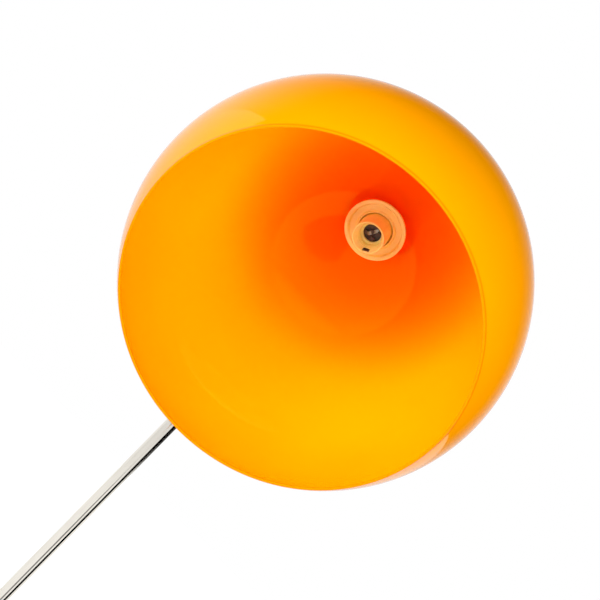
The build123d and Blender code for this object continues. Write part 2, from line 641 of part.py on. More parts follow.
# --- the lamp -----------------------------------------------------------------------------------------
STANDING = [
    base_pad, base_weight, base_cover, cable_inlet, pole_spigot, spigot_washer, spigot_nut, lower_tube,
    guide_bush, clamp_collar, clamp_stud, clamp_knob, cane_tube, slider_foot, knuckle_upper, knuckle_lower,
    friction_washer, pivot_screw, knob_washer, tilt_knob, base_flex, slack_flex, cane_flex, knuckle_flex,
]
HANGING = [
    acrylic_shade, crown_gasket, crown_cap, inner_gasket, shade_washer, shade_nut, threaded_nipple,
    socket_cup, lampholder_cap, lampholder_barrel, contact_base, terminal_screws, centre_contact,
    side_contacts, stem_flex,
]

os.makedirs("parts", exist_ok=True)
for piece in STANDING:
    export_step(piece(), f"parts/{piece.__name__}.step")
for piece in HANGING:
    export_step(SHADE_PLACE * piece(), f"parts/{piece.__name__}.step")
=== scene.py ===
"""Looks of the mushroom floor lamp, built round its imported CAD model: a weighted chrome base, a telescoping
pole bent over like a cane, a side-by-side tilting knuckle and an open sphere of orange acrylic with an E27
lampholder in its crown. Sizes are in millimetres until piece() puts a mesh in the frame, in metres.
"""
import math

import bmesh
import bpy
import numpy as np
from mathutils import Matrix, Vector


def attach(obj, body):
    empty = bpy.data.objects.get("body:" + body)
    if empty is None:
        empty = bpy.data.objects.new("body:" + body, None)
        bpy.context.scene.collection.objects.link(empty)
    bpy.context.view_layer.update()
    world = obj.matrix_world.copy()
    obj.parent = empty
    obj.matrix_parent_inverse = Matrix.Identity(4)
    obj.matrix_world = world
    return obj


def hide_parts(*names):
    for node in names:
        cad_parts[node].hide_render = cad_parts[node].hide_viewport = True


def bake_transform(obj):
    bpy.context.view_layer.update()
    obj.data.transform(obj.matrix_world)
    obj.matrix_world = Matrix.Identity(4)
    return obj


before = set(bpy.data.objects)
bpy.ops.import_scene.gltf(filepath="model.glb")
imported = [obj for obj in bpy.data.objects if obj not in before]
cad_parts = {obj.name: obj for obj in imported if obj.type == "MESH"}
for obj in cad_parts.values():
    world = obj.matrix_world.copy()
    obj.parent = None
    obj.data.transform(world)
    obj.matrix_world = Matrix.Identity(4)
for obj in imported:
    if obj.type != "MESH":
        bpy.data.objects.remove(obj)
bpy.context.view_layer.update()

# --- Base pad ---------------------------------------------
# A disc of grey wool felt, die-cut and glued under the cast weight, that keeps iron and chrome off the
# floor. Its edge is soft, and its face is fuzzy and a little uneven where the lamp has stood.
MM = 0.001
BASE_RADIUS = 150.0
WEIGHT_RADIUS = 140.0
PAD_THICKNESS = 3.0


def rounded(corners, steps=4):
    """Closed outline of (radius, height, rounding) corners. Each corner becomes an arc that touches both its
    sides: its centre is on the line that halves the angle, at rounding over the sine of half the angle.
    Returns the points and, beside each, 1 on an arc and 0 on a sharp corner."""
    table = np.array([(*c, 0.0)[:3] for c in corners], float)
    point, rounding = table[:, :2], table[:, 2]
    back, ahead = np.roll(point, 1, 0) - point, np.roll(point, -1, 0) - point
    long_back, long_ahead = np.linalg.norm(back, axis=1), np.linalg.norm(ahead, axis=1)
    back, ahead = back / long_back[:, None], ahead / long_ahead[:, None]
    half = 0.5 * np.arccos(np.clip((back * ahead).sum(1), -1, 0.9999))
    setback = np.minimum(rounding / np.tan(half), 0.48 * np.minimum(long_back, long_ahead))
    radius = setback * np.tan(half)
    inward = back + ahead
    inward /= np.maximum(np.linalg.norm(inward, axis=1), 1e-9)[:, None]
    centre = point + inward * (radius / np.sin(half))[:, None]
    swept = np.maximum(math.pi - 2 * half, 1e-6)[:, None, None]
    t = np.linspace(0, 1, steps + 1)[None, :, None]
    start, end = [(point + side * setback[:, None] - centre)[:, None] for side in (back, ahead)]
    arc = centre[:, None] + (np.sin((1 - t) * swept) * start + np.sin(t * swept) * end) / np.sin(swept)
    line = arc.reshape(-1, 2)
    worn = np.repeat((rounding > 0).astype(float), steps + 1)
    keep = np.linalg.norm(line - np.roll(line, 1, 0), axis=1) > 1e-5
    return line[keep], worn[keep]


def divided(line, worn, step):
    """The same closed outline with more points, so that none is further than step from the next."""
    closed = np.vstack([line, line[:1]])
    along = np.concatenate([[0], np.cumsum(np.linalg.norm(np.diff(closed, axis=0), axis=1))])
    every = np.union1d(along, np.arange(0, along[-1], step))[:-1]
    every = every[np.concatenate([[True], np.diff(every) > 1e-4])]
    more = [np.interp(every, along, column) for column in (closed[:, 0], closed[:, 1], [*worn, worn[0]])]
    return np.stack(more[:2], 1), more[2]


def grid_faces(rows, columns):
    """Quads of a grid that closes on itself both ways, as on a ring."""
    i, j = np.arange(rows)[:, None], np.arange(columns)[None]
    row, after, beside = i * columns, (i + 1) % rows * columns, (j + 1) % columns
    return np.stack(np.broadcast_arrays(row + j, row + beside, after + beside, after + j), -1).reshape(-1, 4)


def turned(corners, turns=96, step=None, swell=None, spine=None, steps=4):
    """Closed outline swept once round the Z axis: x is r times the cosine and y is r times the sine of the
    turn. swell(turn, r, z) adds to r, for grooves and threads. spine(z) gives the centre, and two directions
    across it, that take the place of the axis, for a bent tube. Returns points, faces and wear."""
    line, worn = rounded(corners, steps)
    if step:
        line, worn = divided(line, worn, step)
    turn = np.linspace(0, 2 * math.pi, turns, endpoint=False)[None]
    r, z = np.broadcast_arrays(line[:, :1], turn)[0], np.broadcast_arrays(line[:, 1:], turn)[0]
    if swell:
        r = r + swell(turn, r, z)
    if spine:
        centre, across, beside = spine(line[:, 1])
        points = centre[:, None] + r[..., None] * (
            np.cos(turn)[..., None] * across[:, None] + np.sin(turn)[..., None] * beside[:, None])
    else:
        points = np.stack([r * np.cos(turn), r * np.sin(turn), z], -1)
    return points.reshape(-1, 3), grid_faces(*r.shape), np.repeat(worn, turns)


def shift(x=0.0, y=0.0, z=0.0):
    """Matrix that moves by that much."""
    return np.array(Matrix.Translation((x, y, z)))


def turn_about(axis, degrees):
    """Matrix that turns about an axis."""
    return np.array(Matrix.Rotation(math.radians(degrees), 4, axis))


def moved(shape, place):
    """The shape with its points multiplied by the place's matrix."""
    points, faces, worn = shape
    return points @ place[:3, :3].T + place[:3, 3], faces, worn


def closed_mesh(name, shapes, place=np.eye(4)):
    """Mesh of several shapes, in metres: doubles merged, open ends capped and normals pointing outwards."""
    points, faces, worn, count = [], [], [], 0
    for shape in shapes:
        at, of, wear = moved(shape, place)
        points, faces, worn = points + [at * MM], faces + [of + count], worn + [wear]
        count += len(at)
    mesh = bpy.data.meshes.new(name)
    mesh.from_pydata(np.vstack(points), [], np.vstack(faces))
    mesh.attributes.new("worn", "FLOAT", "POINT").data.foreach_set("value", np.concatenate(worn))
    work = bmesh.new()
    work.from_mesh(mesh)
    bmesh.ops.remove_doubles(work, verts=work.verts, dist=1e-6)
    bmesh.ops.dissolve_degenerate(work, edges=work.edges, dist=1e-7)
    bmesh.ops.holes_fill(work, edges=[e for e in work.edges if e.is_boundary])
    bmesh.ops.recalc_face_normals(work, faces=work.faces)
    work.to_mesh(mesh)
    work.free()
    return mesh


def linked(name, data):
    """New object in the scene."""
    thing = bpy.data.objects.new(name, data)
    bpy.context.scene.collection.objects.link(thing)
    return thing


def piece(name, shapes, body, nodes, material, place=np.eye(4), sharp=40):
    """One object of several shapes, in place on its body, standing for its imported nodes."""
    return place_in_frame(linked(name, closed_mesh(name, shapes, place)), body, nodes, material, sharp)


def place_in_frame(thing, body, nodes, material, sharp=40):
    """Shades the object smooth but for edges over the sharp angle, and says what it rides on and stands for."""
    thing.data.polygons.foreach_set("use_smooth", np.ones(len(thing.data.polygons), bool))
    thing.data.set_sharp_from_angle(angle=math.radians(sharp))
    thing.data.materials.clear()
    thing.data.materials.append(material)
    if body:
        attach(thing, body)
    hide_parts(*nodes)
    return thing


def node(tree, kind, **values):
    """A shader node with its properties and, by socket name, its inputs set. A socket as a value is linked."""
    made = tree.nodes.new(kind)
    for key, value in values.items():
        if hasattr(made, key):
            setattr(made, key, value)
            continue
        socket = made.inputs[int(key[1:])] if key[0] == "_" else made.inputs[key.replace("_", " ")]
        if isinstance(value, bpy.types.NodeSocket):
            tree.links.new(value, socket)
        else:
            socket.default_value = value
    return made


def calculated(tree, operation, first, second):
    """Number made of two by an operation."""
    return node(tree, "ShaderNodeMath", operation=operation, _0=first, _1=second).outputs[0]


def ramp(tree, value, low, high):
    """Value between 0 and 1 turned into one between low and high."""
    return node(tree, "ShaderNodeMapRange", Value=value, To_Min=low, To_Max=high).outputs["Result"]


def blended(tree, share, first, second):
    """Colour between two by a share."""
    mix = node(tree, "ShaderNodeMix", data_type="RGBA")
    for socket, value in (("Factor", share), (6, first), (7, second)):
        if isinstance(value, bpy.types.NodeSocket):
            tree.links.new(value, mix.inputs[socket])
        else:
            mix.inputs[socket].default_value = (*value, 1.0)[:4] if socket != "Factor" else value
    return mix.outputs[2]


def finish(name, light, dark, rough, metal=0.0, grain=400.0, stretch=(1, 1, 1), bump=0.02, bump_scale=None,
           worn=None, worn_rough=None, **sockets):
    """Shader of one finish. Noise over Object coordinates moves the colour between light and dark and the
    roughness between its two values; finer noise makes the bump, in millimetres; edges marked worn take
    their own colour and roughness."""
    material = bpy.data.materials.new(name)
    material.use_nodes = True
    tree = material.node_tree
    shader = tree.nodes["Principled BSDF"]
    place = node(tree, "ShaderNodeMapping", Scale=stretch,
                 Vector=node(tree, "ShaderNodeTexCoord").outputs["Object"]).outputs[0]
    cloud = node(tree, "ShaderNodeTexNoise", Vector=place, Scale=grain, Detail=4.0).outputs["Fac"]
    fine = node(tree, "ShaderNodeTexNoise", Vector=place, Scale=bump_scale or 4 * grain, Detail=3.0).outputs["Fac"]
    colour = blended(tree, ramp(tree, cloud, -0.6, 1.6), dark, light)
    roughness = ramp(tree, cloud, *rough)
    if worn:
        edge = node(tree, "ShaderNodeAttribute", attribute_name="worn").outputs["Fac"]
        edge = calculated(tree, "MULTIPLY", edge, fine)
        colour = blended(tree, edge, colour, worn)
        roughness = node(tree, "ShaderNodeMix", _0=edge, _2=roughness, _3=worn_rough or rough[1]).outputs[0]
    tree.links.new(colour, shader.inputs["Base Color"])
    tree.links.new(roughness, shader.inputs["Roughness"])
    dents = node(tree, "ShaderNodeBump", Height=fine, Distance=bump * MM, Strength=1.0)
    tree.links.new(dents.outputs[0], shader.inputs["Normal"])
    shader.inputs["Metallic"].default_value = metal
    for key, value in sockets.items():
        shader.inputs[key.replace("_", " ")].default_value = value
    return material


felt = finish("wool_felt", (0.055, 0.052, 0.05), (0.022, 0.021, 0.02), (0.9, 1.0), grain=700.0,
              stretch=(1, 1, 2.5), bump=0.35, bump_scale=2600.0, worn=(0.09, 0.085, 0.08),
              Sheen_Weight=0.6, Sheen_Roughness=0.5)
FELT_SOFTNESS = 0.9


def fuzz(turn, r, z):
    """Unevenness of a cut felt edge: a sum of three waves round the disc, only near its rim."""
    waves = np.sin(17 * turn) + 0.7 * np.sin(41 * turn + 2 * z) + 0.5 * np.sin(97 * turn - 3 * z)
    return -0.09 * (1.2 + waves * 0.5) * (r > WEIGHT_RADIUS - 2)


piece("pad_of_felt", [turned([(0, 0), (WEIGHT_RADIUS, 0, FELT_SOFTNESS),
                              (WEIGHT_RADIUS, PAD_THICKNESS, FELT_SOFTNESS), (0, PAD_THICKNESS)],
                             turns=480, step=12.0, swell=fuzz)],
      "base", ["base_pad"], felt)

# --- Cast weight ------------------------------------------
# A grey-iron disc, sand-cast, that gives the lamp its 12 kg. It has a recess below for the spigot's nut and
# a channel to the back for the flex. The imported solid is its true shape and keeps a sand-cast skin.
cast_iron = finish("sand_cast_iron", (0.09, 0.085, 0.082), (0.035, 0.033, 0.032), (0.55, 0.8), metal=0.85,
                   grain=180.0, bump=0.25, bump_scale=900.0)
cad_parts["base_weight"].data.materials.clear()
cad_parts["base_weight"].data.materials.append(cast_iron)

# --- Base cover -------------------------------------------
# A dish of 1.2 mm steel, spun over a former, polished and chromed. It drops over the weight, its edge 2 mm
# above the floor, and it has a hole for the spigot and one at the back for the inlet bush.
BASE_HEIGHT = 24.0
COVER_WALL = 1.2
COVER_LOW = 2.0
COVER_CORNER = 8.0
SPIGOT_THREAD = 6.0
INLET_HEIGHT = 9.0
INLET_NECK = 5.0

# Pale chrome whose warm cast is painted light: bare plating is neutral, and the warmth stands for warm light on the
# tubes. Light and dark are random tone.
chrome_light, chrome_dark = (0.88, 0.83, 0.75), (0.80, 0.75, 0.67)
chrome = finish("chrome_plate", chrome_light, chrome_dark, (0.035, 0.085), metal=1.0, grain=60.0,
                stretch=(1, 1, 0.25), bump=0.002, bump_scale=240.0, worn=(0.9, 0.87, 0.8), worn_rough=0.14)
spun_chrome = finish("spun_chrome", chrome_light, chrome_dark, (0.04, 0.11), metal=1.0, grain=45.0,
                     bump=0.002, bump_scale=150.0, worn=(0.9, 0.87, 0.8), worn_rough=0.16)


def spun_lines(material, scale, depth):
    """Adds the faint turned rings that the spinning roller leaves, as bump after the material's own."""
    tree = material.node_tree
    shader = tree.nodes["Principled BSDF"]
    rings = node(tree, "ShaderNodeTexWave", wave_type="RINGS", rings_direction="Z", Scale=scale, Distortion=1.5,
                 Detail=2.0, Vector=node(tree, "ShaderNodeTexCoord").outputs["Object"]).outputs["Fac"]
    over = node(tree, "ShaderNodeBump", Height=rings, Distance=depth * MM,
                Normal=shader.inputs["Normal"].links[0].from_socket)
    tree.links.new(over.outputs[0], shader.inputs["Normal"])


spun_lines(spun_chrome, 160.0, 0.0012)
COVER_INSIDE, COVER_UNDER = BASE_RADIUS - COVER_WALL, BASE_HEIGHT - COVER_WALL
cover_side = [(BASE_RADIUS, COVER_LOW, 0.3), (BASE_RADIUS, BASE_HEIGHT, COVER_CORNER),
              (SPIGOT_THREAD, BASE_HEIGHT, 0.2), (SPIGOT_THREAD, COVER_UNDER),
              (COVER_INSIDE, COVER_UNDER, COVER_CORNER - COVER_WALL), (COVER_INSIDE, COVER_LOW, 0.3)]
cover = piece("spun_cover", [turned(cover_side, turns=256, step=9.0, steps=10)],
              "base", ["base_cover"], spun_chrome)


def final_mesh(thing):
    """New mesh of an object as its modifiers, or its curve's thickness, leave it."""
    return bpy.data.meshes.new_from_object(thing.evaluated_get(bpy.context.evaluated_depsgraph_get()))


def bored(thing, cutters, place=np.eye(4)):
    """Takes the shapes out of the piece, for a hole or slot across its wall."""
    cutter = linked("cutter", closed_mesh("cutter", cutters, place))
    modifier = thing.modifiers.new("bored", "BOOLEAN")
    modifier.operation, modifier.solver, modifier.object = "DIFFERENCE", "EXACT", cutter
    cut = final_mesh(thing)
    thing.modifiers.clear()
    thing.data = cut
    bpy.data.objects.remove(cutter)


TO_BACK = turn_about("X", -90)
bored(cover, [turned([(0, 120), (INLET_NECK, 120), (INLET_NECK, 160), (0, 160)], turns=64)],
      shift(z=INLET_HEIGHT) @ TO_BACK)

# --- Inlet bush -------------------------------------------
# A grommet of black rubber through the cover's back edge, where the supply flex goes in. Its outer flange
# has a bell mouth, so that the flex never bends over a sharp edge.
FLEX_RADIUS = 2.5
FLEX_BORE = 3.5
INLET_FLANGE = 6.8
black_rubber = finish("black_rubber", (0.028, 0.028, 0.029), (0.014, 0.014, 0.015), (0.45, 0.7), grain=900.0,
                      bump=0.03, bump_scale=2500.0, worn=(0.06, 0.06, 0.06), worn_rough=0.6)
bush = turned([(FLEX_BORE, 143.65, 0.4), (INLET_NECK, 143.65, 0.3), (INLET_NECK, 146.65),
               (INLET_FLANGE, 146.65, 0.5), (INLET_FLANGE, 148.65, 0.3), (INLET_NECK, 148.65),
               (INLET_NECK, BASE_RADIUS), (INLET_FLANGE, BASE_RADIUS, 0.3), (INLET_FLANGE, 152.0, 0.9),
               (FLEX_BORE, 152.0, 0.8)], turns=64)
piece("inlet_bush", [bush], "base", ["cable_inlet"], black_rubber, shift(z=INLET_HEIGHT) @ TO_BACK)

# --- Spigot and its nut -----------------------------------
# The pole stands on a turned steel spigot: its M12 stem goes down through cover and weight to a washer and
# nut, its flange clamps the cover, and its plug is pressed into the lower tube. The flex goes up its bore.
POLE_BORE = 9.5
SPIGOT_FLANGE = 17.0
POLE_LOW = 28.0
PLUG_TOP = 68.0
RECESS_TOP = 17.0
steel = finish("zinc_plated_steel", (0.62, 0.61, 0.58), (0.42, 0.41, 0.39), (0.22, 0.38), metal=1.0, grain=350.0,
               bump=0.01, bump_scale=1400.0, worn=(0.8, 0.79, 0.76), worn_rough=0.2)


def thread(radius, pitch, depth, low, high, round_crests=False):
    """Screw thread in the wall at a radius. Its depth follows a wave of the height over the pitch less the
    turn over a full turn: straight flanks, or a cosine for round crests. It fades in over one pitch."""
    def swell(turn, r, z):
        phase = (z / pitch - turn / (2 * math.pi)) % 1
        wave = 0.5 - 0.5 * np.cos(2 * math.pi * phase) if round_crests else 1 - 2 * np.abs(phase - 0.5)
        ends = np.clip((z - low) / pitch, 0, 1) * np.clip((high - z) / pitch, 0, 1)
        return -depth * wave * ends * (np.abs(r - radius) < 0.1)
    return swell


spigot = turned([(FLEX_BORE, 10.0, 0.3), (SPIGOT_THREAD, 10.0, 0.5), (SPIGOT_THREAD, BASE_HEIGHT),
                 (SPIGOT_FLANGE, BASE_HEIGHT, 0.4), (SPIGOT_FLANGE, POLE_LOW, 1.4), (POLE_BORE, POLE_LOW),
                 (POLE_BORE, PLUG_TOP, 0.8), (FLEX_BORE, PLUG_TOP, 0.6)], turns=96, step=0.3,
                swell=thread(SPIGOT_THREAD, 1.75, 0.8, 9.0, 22.0))
piece("pole_spigot_turned", [spigot], "base", ["pole_spigot"], chrome)


def washer(outer, inner, low, high):
    """Flat ring with softened edges."""
    soft = min(0.25, 0.3 * (high - low))
    return turned([(inner, low, soft), (outer, low, soft), (outer, high, soft), (inner, high, soft)], turns=64)


def hexagon(half_flats, turn):
    """Hexagon's edge: half its flats over the cosine of the turn from the nearest flat's middle."""
    return half_flats / np.cos((turn + math.pi / 6) % (math.pi / 3) - math.pi / 6)


def nut(flats, bore, low, height, pitch):
    """Hexagon nut, never past the cone that chamfers its corners; the bore has its thread."""
    high, inside = low + height, thread(bore, pitch, -0.5 * pitch, low - pitch, low + height + pitch)

    def swell(turn, r, z):
        cone = flats / 2 + 1.7 * np.minimum(z - low, high - z)
        outside = r > (bore + flats / 2) / 2
        return np.where(outside, np.minimum(hexagon(flats / 2, turn), cone) - r, inside(turn, r, z))
    return turned([(bore, low), (flats / 2, low), (flats / 2, high), (bore, high)], turns=144, step=0.3, swell=swell)


piece("nut_washer", [washer(SPIGOT_FLANGE, SPIGOT_THREAD, RECESS_TOP - 1.5, RECESS_TOP)],
      "base", ["spigot_washer"], steel)
piece("pole_nut", [nut(19.0, SPIGOT_THREAD, RECESS_TOP - 6.5, 5.0, 1.75)],
      "base", ["spigot_nut"], steel, sharp=25)

# --- Lower tube -------------------------------------------
# A 22 mm steel tube with a 1.5 mm wall, welded along a seam that polishing hides, then chromed. Its mouth
# is deburred, and it stands on the spigot's flange.
POLE_RADIUS = 11.0
POLE_TOP = 640.0
piece("pole_tube", [turned([(POLE_BORE, POLE_LOW, 0.3), (POLE_RADIUS, POLE_LOW, 0.4), (POLE_RADIUS, POLE_TOP, 0.4),
                            (POLE_BORE, POLE_TOP, 0.3)], turns=96, step=12.0)],
      "base", ["lower_tube"], chrome)

# --- Guide bush and clamp collar --------------------------
# A moulded nylon bush lines the tube's mouth for the cane to slide in. A turned and chromed collar goes
# over it, and a knob at its back screws a steel stud against the cane to hold the height.
CANE_RADIUS = 8.0
COLLAR_RADIUS = 15.0
COLLAR_FLOOR = 643.0
COLLAR_LOW, COLLAR_TOP = 612.0, 662.0
CLAMP_HEIGHT = 652.5
M6 = 3.0
SLIDING = 0.05
nylon = finish("natural_nylon", (0.76, 0.73, 0.65), (0.66, 0.63, 0.55), (0.3, 0.45), grain=220.0, bump=0.01,
               bump_scale=1200.0, worn=(0.82, 0.8, 0.73), worn_rough=0.28, Subsurface_Weight=0.15,
               Subsurface_Radius=(0.002, 0.0018, 0.0014), Subsurface_Scale=1.0)
piece("nylon_bush", [turned([(CANE_RADIUS + SLIDING, 600.0, 0.6), (POLE_BORE, 600.0, 0.5), (POLE_BORE, POLE_TOP),
                             (POLE_RADIUS, POLE_TOP), (POLE_RADIUS, COLLAR_FLOOR, 0.3),
                             (CANE_RADIUS + SLIDING, COLLAR_FLOOR, 0.5)], step=8.0)],
      "base", ["guide_bush"], nylon)
collar = piece("collar_turned", [turned([
    (POLE_RADIUS, COLLAR_LOW, 0.3), (COLLAR_RADIUS, COLLAR_LOW, 1.2), (COLLAR_RADIUS, COLLAR_TOP, 2.2),
    (CANE_RADIUS + 0.3, COLLAR_TOP, 0.5), (CANE_RADIUS + 0.3, COLLAR_FLOOR), (POLE_RADIUS, COLLAR_FLOOR)],
    step=6.0, steps=6)], "base", ["clamp_collar"], spun_chrome)
AT_CLAMP = shift(z=CLAMP_HEIGHT) @ TO_BACK
bored(collar, [turned([(0, 6.0), (M6, 6.0), (M6, 20.0), (0, 20.0)], turns=48)], AT_CLAMP)

# --- Clamp knob -------------------------------------------
# A hand knob of black glass-filled nylon, moulded round the zinc-plated stud: twelve grip flutes, softened
# ends, a fine spark-eroded texture and a shallow dish in its face.
KNOB_FLUTES = 12
CLAMP_KNOB_LOW, CLAMP_KNOB_HIGH = 21.0, 39.0
black_plastic = finish("black_moulded_nylon", (0.032, 0.032, 0.034), (0.018, 0.018, 0.019), (0.38, 0.55),
                       grain=500.0, bump=0.02, bump_scale=3200.0, worn=(0.055, 0.055, 0.056), worn_rough=0.3)


def flutes(radius, depth, low, high, fade):
    """Grip flutes: the wall at a radius goes in by the depth times a sharp power of the cosine of twelve times
    the turn, and the flutes run out near both ends."""
    def swell(turn, r, z):
        wave = np.maximum(np.cos(KNOB_FLUTES * turn), 0) ** 1.5
        ends = np.clip((z - low) / fade, 0, 1) * np.clip((high - z) / fade, 0, 1)
        return -depth * wave * np.sqrt(ends) * np.clip((r - radius + 2.0) / 2.0, 0, 1)
    return swell


piece("clamp_stud_turned", [turned([(0, 8.3), (M6 - SLIDING, 8.3, 0.8), (M6 - SLIDING, 35.0, 0.3), (0, 35.0)], turns=48,
                                   step=0.12, swell=thread(M6 - SLIDING, 1.0, 0.5, 9.5, 21.0))],
      "clamp", ["clamp_stud"], steel, AT_CLAMP)
piece("clamp_knob_moulded", [turned([
    (M6 - SLIDING, CLAMP_KNOB_LOW, 0.3), (7.0, CLAMP_KNOB_LOW, 0.6), (8.5, CLAMP_KNOB_LOW + 2.2, 0.6),
    (12.0, CLAMP_KNOB_LOW + 2.2, 1.2), (12.0, CLAMP_KNOB_HIGH, 1.8), (8.6, CLAMP_KNOB_HIGH, 0.5),
    (7.9, CLAMP_KNOB_HIGH - 0.7, 0.5), (0, CLAMP_KNOB_HIGH - 0.9), (0, 35.0), (M6 - SLIDING, 35.0)],
    turns=144, step=0.7, swell=flutes(12.0, 0.85, CLAMP_KNOB_LOW + 2.2, CLAMP_KNOB_HIGH, 2.5))],
    "clamp", ["clamp_knob"], black_plastic, AT_CLAMP)

# --- Cane -------------------------------------------------
# A 16 mm chromed tube, mandrel-bent at the top through 135 degrees on a 120 mm radius, so that its end
# points down and forward to the knuckle. A nylon slider is pressed on its foot, inside the lower tube.
PIVOT_HEIGHT = 1360.0
PIVOT_REACH = 236.0
CANE_BORE = 6.5
CANE_FOOT = 420.0
CANE_STUB = 44.0
SOCKET_FLOOR = 17.0
STUB_SLOPE = math.radians(45)
CANE_SWEPT = math.radians(135)
CANE_BEND = (PIVOT_REACH - CANE_STUB * math.cos(STUB_SLOPE)) / (1 + math.sin(STUB_SLOPE))
BEND_LOW = PIVOT_HEIGHT + CANE_STUB * math.sin(STUB_SLOPE) - CANE_BEND * math.cos(STUB_SLOPE)
CANE_LENGTH = BEND_LOW - CANE_FOOT + CANE_BEND * CANE_SWEPT + CANE_STUB - SOCKET_FLOOR


def cane_line(along):
    """Cane's centreline at a length from its foot: straight up, then round the bend, where y is minus the
    radius times 1 less the cosine and z the radius times the sine of the turned angle, then straight on."""
    rise = BEND_LOW - CANE_FOOT
    angle = np.clip((along - rise) / CANE_BEND, 0, CANE_SWEPT)
    past = np.maximum(along - rise - CANE_BEND * CANE_SWEPT, 0)
    nothing = np.zeros_like(along)
    y = -CANE_BEND * (1 - np.cos(angle)) - past * math.sin(CANE_SWEPT)
    z = CANE_FOOT + np.minimum(along, rise) + CANE_BEND * np.sin(angle) + past * math.cos(CANE_SWEPT)
    across = np.stack([nothing + 1, nothing, nothing], 1)
    beside = np.stack([nothing, np.cos(angle), np.sin(angle)], 1)
    return np.stack([nothing, y, z], 1), across, beside


piece("cane_tube_bent", [turned([(CANE_BORE, 0, 0.3), (CANE_RADIUS, 0, 0.4), (CANE_RADIUS, CANE_LENGTH, 0.3),
                                 (CANE_BORE, CANE_LENGTH, 0.3)], turns=96, step=5.0, spine=cane_line)],
      "cane", ["cane_tube"], chrome)
SLIDER_LOW = 400.0
piece("nylon_slider", [turned([
    (FLEX_BORE, SLIDER_LOW, 0.8), (POLE_BORE - SLIDING, SLIDER_LOW, 1.0), (POLE_BORE - SLIDING, SLIDER_LOW + 40, 0.8),
    (CANE_RADIUS, SLIDER_LOW + 40, 0.2), (CANE_RADIUS, CANE_FOOT), (FLEX_BORE, CANE_FOOT, 0.5)], step=0.6,
    swell=lambda turn, r, z: -0.18 * (r > 9.0) * (np.cos(8 * math.pi * (z - SLIDER_LOW) / 40) > 0.55))],
    "cane", ["slider_foot"], nylon)

# --- Knuckle ----------------------------------------------
# Two hollow halves of investment-cast brass sit side by side on one steel screw, a ring of vulcanised
# fibre between them. One is brazed on the cane, the other threaded on the shade's nipple; both are chromed.
KNUCKLE_RADIUS = 12.7
KNUCKLE_BACK = 6.5
CHAMBER_RADIUS = 10.7
CHAMBER_HALF = 4.5
FRICTION_WASHER = 0.6
FAR_SIDE = 16.1
REST_TILT = 60.0
PIVOT_UP = 240.0
SHADE_SIDE = 9.6
AT_PIVOT = shift(y=-PIVOT_REACH, z=PIVOT_HEIGHT)
ALONG_PIVOT = AT_PIVOT @ turn_about("Y", 90)
SHADE_PLACE = AT_PIVOT @ shift(x=SHADE_SIDE) @ turn_about("X", -REST_TILT) @ shift(z=-PIVOT_UP)


def cast_copy(name, packed, body, material, voxel=0.35):
    """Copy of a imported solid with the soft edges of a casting: its loose triangles are merged, the surface is
    laid anew on a fine even grid, and a few rounds of smoothing take the corners off."""
    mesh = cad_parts[packed].data.copy()
    work = bmesh.new()
    work.from_mesh(mesh)
    bmesh.ops.remove_doubles(work, verts=work.verts, dist=1e-6)
    work.to_mesh(mesh)
    work.free()
    thing = linked(name, mesh)
    remesh = thing.modifiers.new("even", "REMESH")
    remesh.mode, remesh.voxel_size = "VOXEL", voxel * MM
    smooth = thing.modifiers.new("soft", "SMOOTH")
    smooth.factor, smooth.iterations = 0.5, 4
    thing.data = final_mesh(thing)
    thing.data.name = name
    thing.modifiers.clear()
    return place_in_frame(thing, body, [packed], material, sharp=180)


cast_chrome = finish("chromed_casting", chrome_light, chrome_dark, (0.05, 0.13), metal=1.0, grain=120.0,
                     bump=0.006, bump_scale=500.0)
fibre = finish("vulcanised_fibre", (0.30, 0.085, 0.045), (0.19, 0.05, 0.028), (0.55, 0.75), grain=600.0,
               stretch=(1, 1, 3), bump=0.03, bump_scale=2600.0, worn=(0.36, 0.13, 0.08), worn_rough=0.8)
cast_copy("knuckle_on_cane", "knuckle_upper", "cane", cast_chrome)
cast_copy("knuckle_on_shade", "knuckle_lower", "shade", cast_chrome)
piece("fibre_washer", [washer(KNUCKLE_RADIUS, CHAMBER_RADIUS, CHAMBER_HALF, CHAMBER_HALF + FRICTION_WASHER)],
      "cane", ["friction_washer"], fibre, ALONG_PIVOT)

# --- Pivot screw and tilt knob ----------------------------
# A chromed socket-head screw goes through both halves into a fluted thumb nut of turned brass. Tightening
# the nut presses the halves on the fibre ring, and that friction holds the shade.
SCREW_HEAD = -KNUCKLE_BACK - 4.0
KNOB_LOW, KNOB_HIGH = 17.1, 30.1
SCREW_END = 26.1
HEX_SOCKET = 2.3


def hex_socket(turn, r, z):
    """A hexagon on the wall of the drive socket, and the thread on the shaft."""
    shaft = thread(M6, 1.0, 0.5, FAR_SIDE, SCREW_END + 0.5)(turn, r, z)
    return np.where((np.abs(r - HEX_SOCKET) < 0.01) & (z < SCREW_HEAD + 3), hexagon(HEX_SOCKET, turn) - r, shaft)


